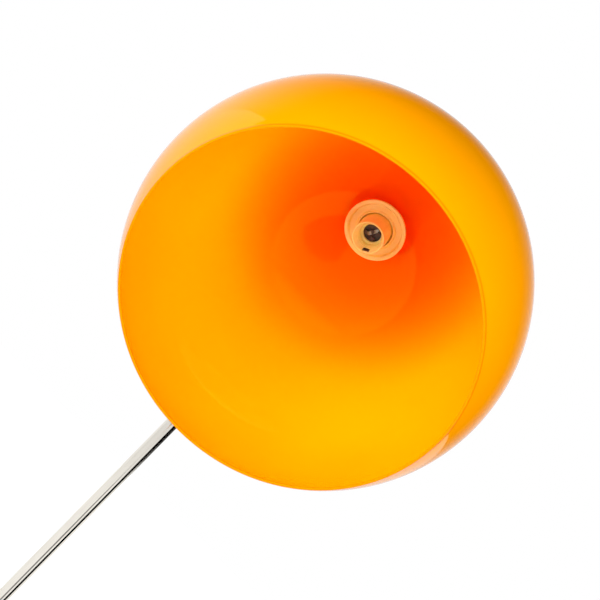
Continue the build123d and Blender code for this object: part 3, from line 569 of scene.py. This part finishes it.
piece("pivot_screw_turned", [turned([
    (0, SCREW_HEAD + 2.2), (HEX_SOCKET, SCREW_HEAD + 2.2), (HEX_SOCKET, SCREW_HEAD), (5.5, SCREW_HEAD, 0.8),
    (5.5, -KNUCKLE_BACK, 0.2), (M6, -KNUCKLE_BACK), (M6, SCREW_END, 0.5), (0, SCREW_END)],
    turns=96, step=0.15, swell=hex_socket)], "cane", ["pivot_screw"], chrome, ALONG_PIVOT, sharp=35)
piece("tilt_knob_washer", [washer(8.0, M6, FAR_SIDE, KNOB_LOW)], "cane", ["knob_washer"], steel,
      ALONG_PIVOT)
piece("tilt_knob_fluted", [turned([
    (M6 + SLIDING, KNOB_LOW, 0.4), (11.0, KNOB_LOW, 1.2), (11.0, KNOB_HIGH, 1.5), (7.0, KNOB_HIGH, 0.4),
    (6.4, KNOB_HIGH - 0.5, 0.4), (0, KNOB_HIGH - 0.5), (0, SCREW_END + 0.5), (M6 + SLIDING, SCREW_END + 0.5)],
    turns=144, step=0.5, swell=flutes(11.0, 0.8, KNOB_LOW, KNOB_HIGH, 2.0))],
    "tension_knob", ["tilt_knob"], chrome, ALONG_PIVOT)

# --- Flex inside the lamp ---------------------------------
# The round 5 mm supply flex, with a smooth sheath, runs from the inlet to the lampholder: up the spigot, slack
# in the lower tube, up the cane, round the pivot screw inside the knuckle and through the nipple.
flex_sheath = finish("flex_sheath", (0.62, 0.6, 0.55), (0.5, 0.48, 0.44), (0.4, 0.55), grain=260.0, bump=0.01,
                     bump_scale=1500.0)


def flex_run(name, points, body, nodes):
    """Stretch of flex: a tube round one smooth spline that the route's points pull into shape, made a mesh."""
    curve = bpy.data.curves.new(name, "CURVE")
    curve.dimensions, curve.bevel_depth, curve.bevel_resolution = "3D", FLEX_RADIUS * MM, 8
    curve.use_fill_caps, curve.resolution_u = True, 16
    spline = curve.splines.new("NURBS")
    spline.points.add(len(points) - 1)
    spline.points.foreach_set("co", np.c_[np.array(points) * MM, np.ones(len(points))].ravel())
    spline.order_u, spline.use_endpoint_u = 3, True
    line = linked(name + "_line", curve)
    mesh = final_mesh(line)
    bpy.data.objects.remove(line)
    return place_in_frame(linked(name, mesh), body, nodes, flex_sheath)


def from_pivot(towards, along, aside=0.0, across=0.0):
    """Point at distances from the pivot: towards one side of the knuckle, aside of the screw, and along it."""
    level = to_cane + to_shade
    place = to_cane if towards == "cane" else to_shade
    offset = place * along + level / np.linalg.norm(level) * aside
    return across, offset[1] - PIVOT_REACH, offset[2] + PIVOT_HEIGHT


to_cane = np.array([0, math.cos(STUB_SLOPE), math.sin(STUB_SLOPE)])
to_shade = np.array([0, -math.sin(math.radians(REST_TILT)), -math.cos(math.radians(REST_TILT))])
SLIDE_FROM, SLIDE_TO = 80.0, 400.0
FLEX_LOW = 6.1
rising = flex_run("flex_in_pole", [
    (0, 128, INLET_HEIGHT), (0, 70, INLET_HEIGHT), (0, 10, FLEX_LOW), (0, 0, FLEX_LOW),
    *((0, 0, z) for z in (12.0, 60.0, 120.0, 190.0, 260.0, 330.0, SLIDE_TO))], None, ["base_flex", "slack_flex"])
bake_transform(rising)
half_step = math.radians(13.5)
around = half_step * np.arange(1, 10, 2)
bend_corners = CANE_BEND / math.cos(half_step) * np.stack([0 * around, np.cos(around), np.sin(around)], 1)
lead_in = CANE_BEND * math.tan(half_step)
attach(flex_run("flex_in_cane", [(0, 0, SLIDER_LOW), (0, 0, 800.0), (0, 0, BEND_LOW - lead_in)] +
                 list(map(tuple, bend_corners + [0, -CANE_BEND, BEND_LOW])) + [from_pivot("cane", 32.0)],
                 None, ["cane_flex"]), "cane")
FLEX_BYPASS = M6 + 1.7 + FLEX_RADIUS
knuckle_run = flex_run("flex_in_knuckle", [
    from_pivot("cane", 31.0), from_pivot("cane", KNUCKLE_RADIUS, FLEX_RADIUS),
    from_pivot("cane", 0, FLEX_BYPASS + 0.6, SHADE_SIDE / 2),
    from_pivot("shade", CHAMBER_RADIUS - 1, FLEX_RADIUS - 0.3, SHADE_SIDE), from_pivot("shade", 16.0, 0, SHADE_SIDE)],
    None, ["knuckle_flex"])
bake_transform(knuckle_run)

# --- Crown stack ------------------------------------------
# The dome is pinched between two rubber gaskets by a chromed cap outside and a washer and nut inside, all
# on one hollow M10 nipple that carries the flex and has the lampholder on its lower end.
SHADE_RADIUS = 210.0
INNER_RADIUS = 207.5
NIPPLE_RADIUS = 5.0
NIPPLE_LOW, NIPPLE_HIGH = 188.0, 224.0
GASKET = 1.5
WASHER_RADIUS = 12.0
CAP_RADIUS = 22.0
CAP_TOP = 218.0
WASHER_TOP, CUP_TOP = 205.65, 200.65


def dome_height(radius, out):
    """Height of a sphere of a radius at a distance out from its axis: the root of the difference of squares."""
    return math.sqrt(radius ** 2 - out ** 2)


def on_dome(radius, inner, outer, count=7):
    """Corners along a sphere of a radius, from one distance off its axis to another."""
    return [(out, dome_height(radius, out)) for out in np.linspace(inner, outer, count)]


def on_shade(name, shapes, packed, material, place=SHADE_PLACE, sharp=40):
    """Piece that rides on the shade, its shapes drawn round the shade's axis from the sphere's centre."""
    return piece(name, shapes, "shade", [packed], material, place, sharp)


on_shade("crown_cap_turned", [turned([
    *on_dome(SHADE_RADIUS + GASKET, NIPPLE_RADIUS, CAP_RADIUS), (CAP_RADIUS, 212.0, 0.8), (10.6, 216.0, 3.0),
    (9.6, CAP_TOP, 0.6), (NIPPLE_RADIUS, CAP_TOP)], turns=128, steps=6)], "crown_cap", spun_chrome)
for name, packed, radius, out in (("gasket_outside", "crown_gasket", SHADE_RADIUS, 20.0),
                                  ("gasket_inside", "inner_gasket", INNER_RADIUS - GASKET, WASHER_RADIUS)):
    on_shade(name, [turned(on_dome(radius, NIPPLE_RADIUS, out) + on_dome(radius + GASKET, out, NIPPLE_RADIUS))],
             packed, black_rubber)
on_shade("crown_washer", [washer(WASHER_RADIUS, NIPPLE_RADIUS, WASHER_TOP - 1.0, WASHER_TOP)],
         "shade_washer", steel)
on_shade("crown_nut", [nut(14.0, NIPPLE_RADIUS, CUP_TOP, 4.0, 1.0)], "shade_nut", steel, sharp=25)
on_shade("nipple_threaded", [turned([
    (FLEX_BORE, NIPPLE_LOW, 0.3), (NIPPLE_RADIUS, NIPPLE_LOW, 0.3), (NIPPLE_RADIUS, NIPPLE_HIGH, 0.3),
    (FLEX_BORE, NIPPLE_HIGH, 0.3)], turns=72, step=0.14,
    swell=thread(NIPPLE_RADIUS, 1.0, 0.55, NIPPLE_LOW, NIPPLE_HIGH))], "threaded_nipple", steel, sharp=60)
stem_line = SHADE_PLACE[:3, :3] @ np.array([[0.0] * 4, [0.0] * 4, [NIPPLE_LOW, 200.0, 212.0, 222.75]])
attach(flex_run("flex_in_nipple", [tuple(p) for p in stem_line.T + SHADE_PLACE[:3, 3]], None, ["stem_flex"]), "shade")

# --- Socket cup -------------------------------------------
# A cup of cream thermoplastic, moulded, that hides the crown's nut. It has a rounded lip 69 mm across, a
# shallow dish, a low raised ring and a well that the lampholder stands in.
CUP_RADIUS = 34.4
CUP_LIP, CUP_FLOOR, CUP_BACK = 186.5, 189.5, 204.2
CUP_RING = 187.5
WELL_RADIUS, WELL_BACK = 19.5, 21.2
HOLDER_TOP = 198.15
# Cream written strongly yellow, its blue taken down: painted orange light, standing for the glow the shade throws on
# the cup and lampholder.
cream = finish("cream_thermoplastic_painted_orange_light", (0.94, 0.92, 0.35), (0.91, 0.88, 0.31), (0.28, 0.4), grain=140.0, bump=0.006,
               bump_scale=900.0, worn=(0.94, 0.89, 0.42), worn_rough=0.24, Subsurface_Weight=0.12,
               Subsurface_Radius=(0.003, 0.002, 0.001), Subsurface_Scale=1.0)
on_shade("cup_moulded", [turned([
    (NIPPLE_RADIUS, HOLDER_TOP), (WELL_RADIUS, HOLDER_TOP, 0.5), (WELL_RADIUS, CUP_RING, 0.4), (21.0, CUP_RING, 0.6),
    (22.6, CUP_FLOOR, 0.8), (28.6, CUP_FLOOR, 1.2), (30.2, CUP_LIP, 1.2), (CUP_RADIUS, CUP_LIP, 0.7),
    (CUP_RADIUS, CUP_LIP + 2.4, 0.6), (27.5, CUP_BACK, 0.6), (25.5, CUP_BACK, 0.4), (28.0, CUP_FLOOR + 2, 1.0),
    (WELL_BACK, CUP_FLOOR + 2, 0.6), (WELL_BACK, CUP_TOP, 0.5), (NIPPLE_RADIUS, CUP_TOP)],
    turns=160, step=1.5, steps=6)], "socket_cup", cream)

# --- Lampholder -------------------------------------------
# An E27 lampholder of the same thermoplastic in two halves that screw together: the cap on the nipple and
# the barrel with the round-crested thread for the lamp, a bell mouth and a ledge over the contacts.
MOUTH, THREAD_LOW = 158.8, 166.0
LEDGE_LOW, LEDGE_HIGH = 176.0, 179.0
LEDGE_RADIUS = 10.2
E27_RADIUS = 13.5
E27_PITCH = 3.629
INSULATOR_LOW, INSULATOR_TOP = 182.0, 186.0
HOLDER_SPLIT = 187.0
HOLDER_RADIUS, HOLDER_BORE = 18.3, 16.1
CAP_UNDER = HOLDER_TOP - 4.4
UNDERCUT_RADIUS = 15.0
on_shade("holder_cap", [turned([
    (NIPPLE_RADIUS, HOLDER_TOP), (HOLDER_RADIUS, HOLDER_TOP, 2.0), (HOLDER_RADIUS, HOLDER_SPLIT, 0.3),
    (HOLDER_BORE, HOLDER_SPLIT), (HOLDER_BORE, CAP_UNDER, 1.0), (NIPPLE_RADIUS, CAP_UNDER)], turns=128)],
    "lampholder_cap", cream)
barrel = on_shade("holder_barrel", [turned([
    (E27_RADIUS, LEDGE_LOW), (E27_RADIUS, THREAD_LOW), (13.9, 165.0, 0.6), (16.5, MOUTH, 0.5), (18.0, MOUTH, 0.7),
    (HOLDER_RADIUS, HOLDER_SPLIT, 0.3), (HOLDER_BORE, HOLDER_SPLIT), (HOLDER_BORE, INSULATOR_LOW),
    (UNDERCUT_RADIUS, INSULATOR_LOW), (UNDERCUT_RADIUS, LEDGE_HIGH), (LEDGE_RADIUS, LEDGE_HIGH, 0.4),
    (LEDGE_RADIUS, LEDGE_LOW, 0.5)], turns=144, step=0.35,
    swell=thread(E27_RADIUS, E27_PITCH, 1.0, THREAD_LOW - 1.5, LEDGE_LOW + 1.0, round_crests=True))],
    "lampholder_barrel", cream)

# --- Contacts ---------------------------------------------
# A dark brown moulded base closes the bore, with four low ribs and a rivet boss. A springy leaf of nickelled
# brass reaches for the lamp's tip, and two tongues for its shell. A dark tab of the base's phenolic fills a slot
# in the barrel's wall as painted shade for the slot's hollow: it is listed with the base, and sits well away from it.
phenolic = finish("brown_phenolic", (0.10, 0.062, 0.05), (0.05, 0.032, 0.027), (0.45, 0.65), grain=700.0,
                  bump=0.02, bump_scale=3000.0, worn=(0.15, 0.1, 0.085), worn_rough=0.5)
# Nickelled brass written dark: painted shade for the contacts deep in the bore, which keeps their glints small.
nickel_painted_dark = finish("nickelled_brass_painted_dark", (0.40, 0.35, 0.28), (0.27, 0.23, 0.18), (0.32, 0.5), metal=1.0, grain=500.0,
                bump=0.01, bump_scale=2500.0, worn=(0.6, 0.55, 0.46), worn_rough=0.4)


def pressed(corners, low, high):
    """Closed outline of (y, z, rounding) corners carried straight along X, its two ends left open for a cap."""
    line, worn = rounded(corners)
    ends = np.array([low, high])[None]
    y, z = np.broadcast_arrays(line[:, :1], ends)[0], np.broadcast_arrays(line[:, 1:], ends)[0]
    points = np.stack([np.broadcast_to(ends, y.shape), y, z], -1).reshape(-1, 3)
    i = np.arange(len(line))
    j = (i + 1) % len(line)
    return points, np.stack([2 * i, 2 * i + 1, 2 * j + 1, 2 * j], 1), np.repeat(worn, 2)


def bar(x, y, z, rounding=0.4):
    """Straight bar between (low, high) pairs."""
    return pressed([(y[0], z[0], rounding), (y[1], z[0], rounding), (y[1], z[1]), (y[0], z[1])], *x)


def softened(thing, width=0.25):
    """Puts a small live bevel on every sharp edge of the piece."""
    modifier = thing.modifiers.new("softened", "BEVEL")
    modifier.width, modifier.segments, modifier.limit_method, modifier.angle_limit = width * MM, 2, "ANGLE", 0.7


disc = turned([(0, INSULATOR_LOW), (HOLDER_BORE, INSULATOR_LOW, 0.3), (HOLDER_BORE, INSULATOR_TOP, 0.3),
               (0, INSULATOR_TOP)], turns=96)
boss = turned([(0, 178.6), (2.6, 178.6, 0.5), (3.0, 183.0), (0, 183.0)], turns=48)
ribs = [bar((-8.2, -3.4), (-7.2, -2.6), (178.4, 183)), bar((3.6, 8.6), (-4.4, 1.6), (179.2, 183)),
        bar((-7.8, -2.8), (3.4, 7.6), (179.6, 183)), bar((1.8, 6.2), (4.4, 8.0), (178.2, 183))]
softened(on_shade("contact_block", [disc, moved(boss, shift(-1.2, 0.8)), *ribs], "contact_base",
                  phenolic))
leaf = pressed([(-6.75, 182.0), (-6.75, 181.4), (-3.4, 181.4, 1.0), (3.4, 177.7, 2.5), (6.2, 178.9, 0.4),
                (6.0, 179.5, 0.3), (3.4, 178.35, 2.0), (-3.2, 182.0, 1.0)], -1.9, 1.9)
softened(on_shade("contact_leaf", [leaf], "centre_contact", nickel_painted_dark, SHADE_PLACE @ turn_about("Z", 35)), 0.12)
tongue = pressed([(-2.0, 176.4, 0.8), (2.0, 176.4, 0.8), (2.0, INSULATOR_LOW), (-2.0, INSULATOR_LOW)], 13.55, 14.15)
softened(on_shade("contact_tongues", [tongue, moved(tongue, turn_about("Z", 180))], "side_contacts", nickel_painted_dark),
         0.1)
TERMINAL_SIDES = (-8.0, 8.0)
SCREW_SLOT = 0.7
screw = turned([(0, 183.0), (1.75, 183.0, 0.2), (1.75, INSULATOR_TOP), (3.0, INSULATOR_TOP), (3.0, 187.75, 0.4),
                (0, 187.75)], turns=48)
screws = on_shade("terminal_screws_slotted", [moved(screw, shift(x=side)) for side in TERMINAL_SIDES],
                  "terminal_screws", nickel_painted_dark)
bored(screws, [bar((side - SCREW_SLOT / 2, side + SCREW_SLOT / 2), (-4, 4), (187.0, 189.0), 0)
               for side in TERMINAL_SIDES], SHADE_PLACE)
AT_SLOT = SHADE_PLACE @ turn_about("Z", -30)
SLOT_HALF, SLOT_BACK, SLOT_END = 3.8, 16.2, 170.0
bored(barrel, [bar((-SLOT_HALF, SLOT_HALF), (14.0, SLOT_BACK), (158, SLOT_END), 0.2)], AT_SLOT)
# Painted shade: a dark tab put in the slot, where its hollow would be in shadow.
on_shade("slot_tab_painted_shade", [bar((-3.7, 3.7), (15.2, 16.15), (161.2, 169.9), 0.1)], "contact_base",
         phenolic, AT_SLOT)

# --- Acrylic shade ----------------------------------------
# One open sphere of orange acrylic, blown from a heated sheet into free air, so that both faces are glossy
# and true. Its edge is sawn, rounded and polished, and its wall lets some light through. Its colour carries
# painted shade: the inner face turns deep red towards the crown, and the outer face and the rim are darkened evenly.
RIM_DROP = 96.0
RIM_ROUND = 0.8
DOME_TURNS = 256
# Painted shade in the shade's colour: heights on its axis where it starts and is full inside, and fixed shares on the
# outer face and the rim.
PAINTED_SHADE_FROM, PAINTED_SHADE_TO = 129.0, 206.0
PAINTED_SHADE_OUTSIDE, PAINTED_SHADE_RIM = 0.30, 0.65


def dome_outline():
    """Outline of the wall: an arc of the outer sphere from rim to hole, back down the inner one, and a rim
    rounded on both edges. The angle runs from the axis; radius is R times its sine, height R times its
    cosine, and the rounding is an arc that touches sphere and rim plane."""
    def limits(radius):
        return math.acos(-(RIM_DROP - RIM_ROUND) / radius), math.asin(NIPPLE_RADIUS / radius)
    outside = np.linspace(*limits(SHADE_RADIUS), 150)
    inside = np.linspace(*limits(INNER_RADIUS)[::-1], 150)
    outer = SHADE_RADIUS * np.stack([np.sin(outside), np.cos(outside)], 1)
    inner = INNER_RADIUS * np.stack([np.sin(inside), np.cos(inside)], 1)
    start, end = inner[-1], outer[0]
    curl = np.linspace(0, 1, 13)[1:-1, None]
    edge = start + (end - start) * (0.5 - 0.5 * np.cos(math.pi * curl))
    edge[:, 1] -= RIM_ROUND * np.sin(math.pi * curl[:, 0]) ** 0.6
    line = np.vstack([outer, inner, edge])
    return line, np.r_[np.zeros(len(outer) + len(inner)), np.ones(len(edge))]


dome_line, dome_worn = dome_outline()
turn = np.linspace(0, 2 * math.pi, DOME_TURNS, endpoint=False)
dome = np.stack([dome_line[:, :1] * np.cos(turn), dome_line[:, :1] * np.sin(turn),
                 np.broadcast_to(dome_line[:, 1:], (len(dome_line), DOME_TURNS))], -1).reshape(-1, 3)

acrylic = finish("orange_acrylic", (1.0, 0.47, 0.0), (1.0, 0.45, 0.0), (0.02, 0.05), grain=14.0, bump=0.004,
                 bump_scale=60.0, Specular_IOR_Level=0.5, IOR=1.49, Specular_Tint=(1.0, 1.0, 0.0, 1.0))
tree = acrylic.node_tree
shader = tree.nodes["Principled BSDF"]
# Painted shade: a point attribute mixes the orange towards deep red.
painted_shade = node(tree, "ShaderNodeAttribute", attribute_name="painted_shade").outputs["Fac"]
painted_shade_colour = blended(tree, painted_shade, shader.inputs["Base Color"].links[0].from_socket, (1.0, 0.12, 0.0))
tree.links.new(painted_shade_colour, shader.inputs["Base Color"])
through = node(tree, "ShaderNodeBsdfTranslucent", Color=(1.0, 0.45, 0.0, 1.0))
share = node(tree, "ShaderNodeMixShader", _0=0.06, _1=shader.outputs[0], _2=through.outputs[0])
tree.links.new(share.outputs[0], tree.nodes["Material Output"].inputs["Surface"])
shade = on_shade("shade_blown", [(dome, grid_faces(len(dome_line), DOME_TURNS), np.repeat(dome_worn, DOME_TURNS))],
                 "acrylic_shade", acrylic, sharp=60)
at = np.empty(3 * len(shade.data.vertices))
shade.data.vertices.foreach_get("co", at)
at = (at.reshape(-1, 3) / MM - SHADE_PLACE[:3, 3]) @ SHADE_PLACE[:3, :3]
out = np.linalg.norm(at, axis=1)
# Share of painted shade: rising smoothly towards the crown on the inner face, fixed on the outer face and the sawn rim.
climb = np.clip((at[:, 2] - PAINTED_SHADE_FROM) / (PAINTED_SHADE_TO - PAINTED_SHADE_FROM), 0, 1)
painted_shade_share = np.select([at[:, 2] < -RIM_DROP + 0.9, out > SHADE_RADIUS - 1], [PAINTED_SHADE_RIM, PAINTED_SHADE_OUTSIDE],
                     climb ** 2 * (3 - 2 * climb))
shade.data.attributes.new("painted_shade", "FLOAT", "POINT").data.foreach_set("value", painted_shade_share)

# --- Studio -----------------------------------------------
# A pale floor, a white surround and seven soft boxes: two in front, two low, two behind and a weak one on the
# right. The shade's own rim keeps their light off the crown. Gloss shows no lamp: it has surroundings of its
# own, fitted to the photograph's highlights, with three cards that show only in it.
scene = bpy.context.scene
scene.view_settings.view_transform = "Standard"
scene.cycles.max_bounces, scene.cycles.diffuse_bounces, scene.cycles.glossy_bounces = 16, 12, 6


def seen_white(tree, plain, white):
    """The white shader for camera, glossy and transmission rays, and the plain one for the rest."""
    path = node(tree, "ShaderNodeLightPath").outputs
    seen = calculated(tree, "MAXIMUM", path["Is Camera Ray"], path["Is Glossy Ray"])
    seen = calculated(tree, "MAXIMUM", seen, path["Is Transmission Ray"])
    return node(tree, "ShaderNodeMixShader", _0=seen, _1=plain, _2=white).outputs[0]


def emission(tree, strength):
    """White glow."""
    return node(tree, "ShaderNodeEmission", Color=(1, 1, 1, 1), Strength=strength).outputs[0]


def fade(tree, value, low, high, start, end):
    """Value turned smoothly from start, below low, to end, above high."""
    return node(tree, "ShaderNodeMapRange", interpolation_type="SMOOTHSTEP", Value=value, From_Min=low, From_Max=high,
                To_Min=start, To_Max=end).outputs[0]


def along(tree, direction, x, y):
    """How far a direction points to (x, y) in plan."""
    return node(tree, "ShaderNodeVectorMath", operation="DOT_PRODUCT", _0=direction, _1=(x, y, 0)).outputs["Value"]


SURROUND = 0.10
WALLS, BACKDROP, UPPER_FRONT = 0.8, 0.95, 1.0
NEAR_IN_GLOSS, FRONT_IN_GLOSS = 0.65, 1.0
world = bpy.data.worlds.new("white_surround")
scene.world = world
world.use_nodes = True
tree = world.node_tree
tree.nodes.clear()
direction = node(tree, "ShaderNodeTexCoord").outputs["Generated"]
level = node(tree, "ShaderNodeVectorMath", operation="MULTIPLY", _0=direction, _1=(1, 1, 0)).outputs[0]
level = node(tree, "ShaderNodeVectorMath", operation="NORMALIZE", _0=level).outputs[0]
rise = node(tree, "ShaderNodeSeparateXYZ", Vector=direction).outputs["Z"]
walls = calculated(tree, "MULTIPLY", fade(tree, rise, 0.05, 0.2, WALLS, 0.0),
                   fade(tree, along(tree, level, 0.87, 0.5), 0.3, 0.7, 1.0, 0.0))
backdrop = calculated(tree, "MULTIPLY", fade(tree, along(tree, level, -0.3, 0.954), 0.5, 0.95, 0.0, BACKDROP),
                      fade(tree, rise, 0.15, 0.7, 1.0, 0.0))
upper_front = calculated(tree, "MULTIPLY", fade(tree, along(tree, level, 0.0, -1.0), 0.3, 0.5, 0.0, UPPER_FRONT),
                         calculated(tree, "MULTIPLY", fade(tree, rise, 0.1, 0.2, 0.0, 1.0),
                                    fade(tree, rise, 0.65, 0.85, 1.0, 0.0)))
room = calculated(tree, "MAXIMUM", calculated(tree, "MAXIMUM", walls, backdrop), upper_front)
room = calculated(tree, "MAXIMUM", room, node(tree, "ShaderNodeLightPath").outputs["Is Camera Ray"])
plain = node(tree, "ShaderNodeBackground", Color=(1, 1, 1, 1), Strength=SURROUND).outputs[0]
white = node(tree, "ShaderNodeBackground", Color=(1, 1, 1, 1), Strength=room).outputs[0]
node(tree, "ShaderNodeOutputWorld", Surface=seen_white(tree, plain, white))

floor_mesh = bpy.data.meshes.new("floor")
floor_mesh.from_pydata([(-60, -60, 0), (60, -60, 0), (60, 60, 0), (-60, 60, 0)], [], [(0, 1, 2, 3)])
floor = linked("floor", floor_mesh)
floor_paint = bpy.data.materials.new("pale_floor")
floor_paint.use_nodes = True
tree = floor_paint.node_tree
paint = tree.nodes["Principled BSDF"]
place = node(tree, "ShaderNodeTexCoord").outputs["Object"]
speckle = node(tree, "ShaderNodeTexNoise", Scale=9.0, Vector=place).outputs["Fac"]
tree.links.new(blended(tree, speckle, (0.80, 0.80, 0.79), (0.84, 0.84, 0.83)), paint.inputs["Base Color"])
paint.inputs["Roughness"].default_value = 0.7
reach = node(tree, "ShaderNodeVectorMath", operation="LENGTH", _0=place).outputs["Value"]
far = node(tree, "ShaderNodeMapRange", Value=reach, From_Min=1.5, From_Max=5.0, To_Min=0.45, To_Max=1.0).outputs[0]
lit = node(tree, "ShaderNodeAddShader", _0=paint.outputs[0], _1=emission(tree, far)).outputs[0]
mirrored = calculated(tree, "MAXIMUM", fade(tree, reach, 3.0, 9.0, NEAR_IN_GLOSS, 1.0),
                      fade(tree, along(tree, place, 0.0, -1.0), -0.3, 0.3, 0.0, FRONT_IN_GLOSS))
lit = node(tree, "ShaderNodeMixShader", _0=node(tree, "ShaderNodeLightPath").outputs["Is Glossy Ray"],
           _1=lit, _2=emission(tree, mirrored)).outputs[0]
bounce = node(tree, "ShaderNodeBsdfDiffuse", Color=(0.3, 0.3, 0.3, 1)).outputs[0]
tree.links.new(seen_white(tree, bounce, lit), tree.nodes["Material Output"].inputs["Surface"])
floor.data.materials.append(floor_paint)


def towards(azimuth, elevation, distance, centre):
    """Point at a distance from a centre. Azimuth 0 is in front, -Y, and 90 is +X; both angles in degrees."""
    a, e = math.radians(azimuth), math.radians(elevation)
    return centre + distance * Vector((math.sin(a) * math.cos(e), -math.cos(a) * math.cos(e), math.sin(e)))


SHADE_CENTRE = Vector(SHADE_PLACE[:3, 3]) * MM


def soft_box(name, azimuth, elevation, distance, width, height, watts):
    """Area lamp that faces the shade and doesn't show in gloss."""
    lamp = bpy.data.lights.new(name, "AREA")
    lamp.shape, lamp.size, lamp.size_y, lamp.energy = "RECTANGLE", width, height, watts
    thing = linked(name, lamp)
    thing.location = towards(azimuth, elevation, distance, SHADE_CENTRE)
    thing.rotation_euler = (SHADE_CENTRE - thing.location).to_track_quat("-Z", "Y").to_euler()
    thing.visible_glossy = False


for name, *values in (
        ("box_front_left", -30.0, 12.0, 2.5, 1.4, 1.2, 49.0), ("box_front_right", 28.0, 12.0, 2.5, 1.4, 1.2, 30.0),
        ("box_low_left", -45.0, -15.0, 2.5, 1.3, 1.0, 39.0), ("box_low_right", 44.0, -15.0, 2.5, 1.3, 1.0, 30.0),
        ("box_back_left", -152.0, 34.0, 2.6, 1.6, 1.2, 36.0), ("box_back_right", 150.0, 34.0, 2.6, 1.6, 1.2, 36.0),
        ("box_right", 97.0, 25.0, 2.4, 1.2, 1.0, 14.0)):
    soft_box(name, *values)


def card(name, corners, glow, distance=3.0):
    """Card that shows only in gloss, black or with a glow. Its corners are (azimuth, elevation) from the shade."""
    mesh = bpy.data.meshes.new(name)
    mesh.from_pydata([tuple(towards(*at, distance, SHADE_CENTRE)) for at in corners], [], [range(len(corners))])
    thing = linked(name, mesh)
    paint = bpy.data.materials.new(name)
    paint.use_nodes = True
    tree = paint.node_tree
    tree.nodes.remove(tree.nodes["Principled BSDF"])
    tree.links.new(emission(tree, glow), tree.nodes["Material Output"].inputs["Surface"])
    mesh.materials.append(paint)
    thing.visible_camera = thing.visible_diffuse = thing.visible_shadow = thing.visible_transmission = False


card("card_left", [(-104, 26), (-121, 21.4), (-136, 14.5), (-147, 7), (-149, -12), (-104, -12)], 0.95)
card("card_right", [(60, 20), (60, -17), (103, -17), (103, 20)], 0.0)
card("card_front", [(20, -11.5), (30, -14), (36, -20), (34, -32), (26, -43), (12, -43), (6, -32), (4, -20),
                    (10, -14)], 0.25, 1.5)

# --- Camera -----------------------------------------------
# The photograph's view: a long lens 2.4 m in front, a little below the shade's middle and looking up at it,
# turned so that the pole runs from the lower left. 2400 pixels of focal length on 600 is 144 mm on 36 mm.
eye = Vector((-8.77, -2853.45, 1005.11)) * MM
aim = Vector((3.63, -441.23, 1209.44)) * MM
ROLL = math.radians(44.455)
camera_data = bpy.data.cameras.new("camera")
camera_data.sensor_width, camera_data.lens = 36.0, 144.0
camera = linked("camera", camera_data)
look = (aim - eye).to_track_quat("-Z", "Y").to_matrix() @ Matrix.Rotation(ROLL, 3, "Z")
camera.matrix_world = Matrix.Translation(eye) @ look.to_4x4()
scene.camera = camera
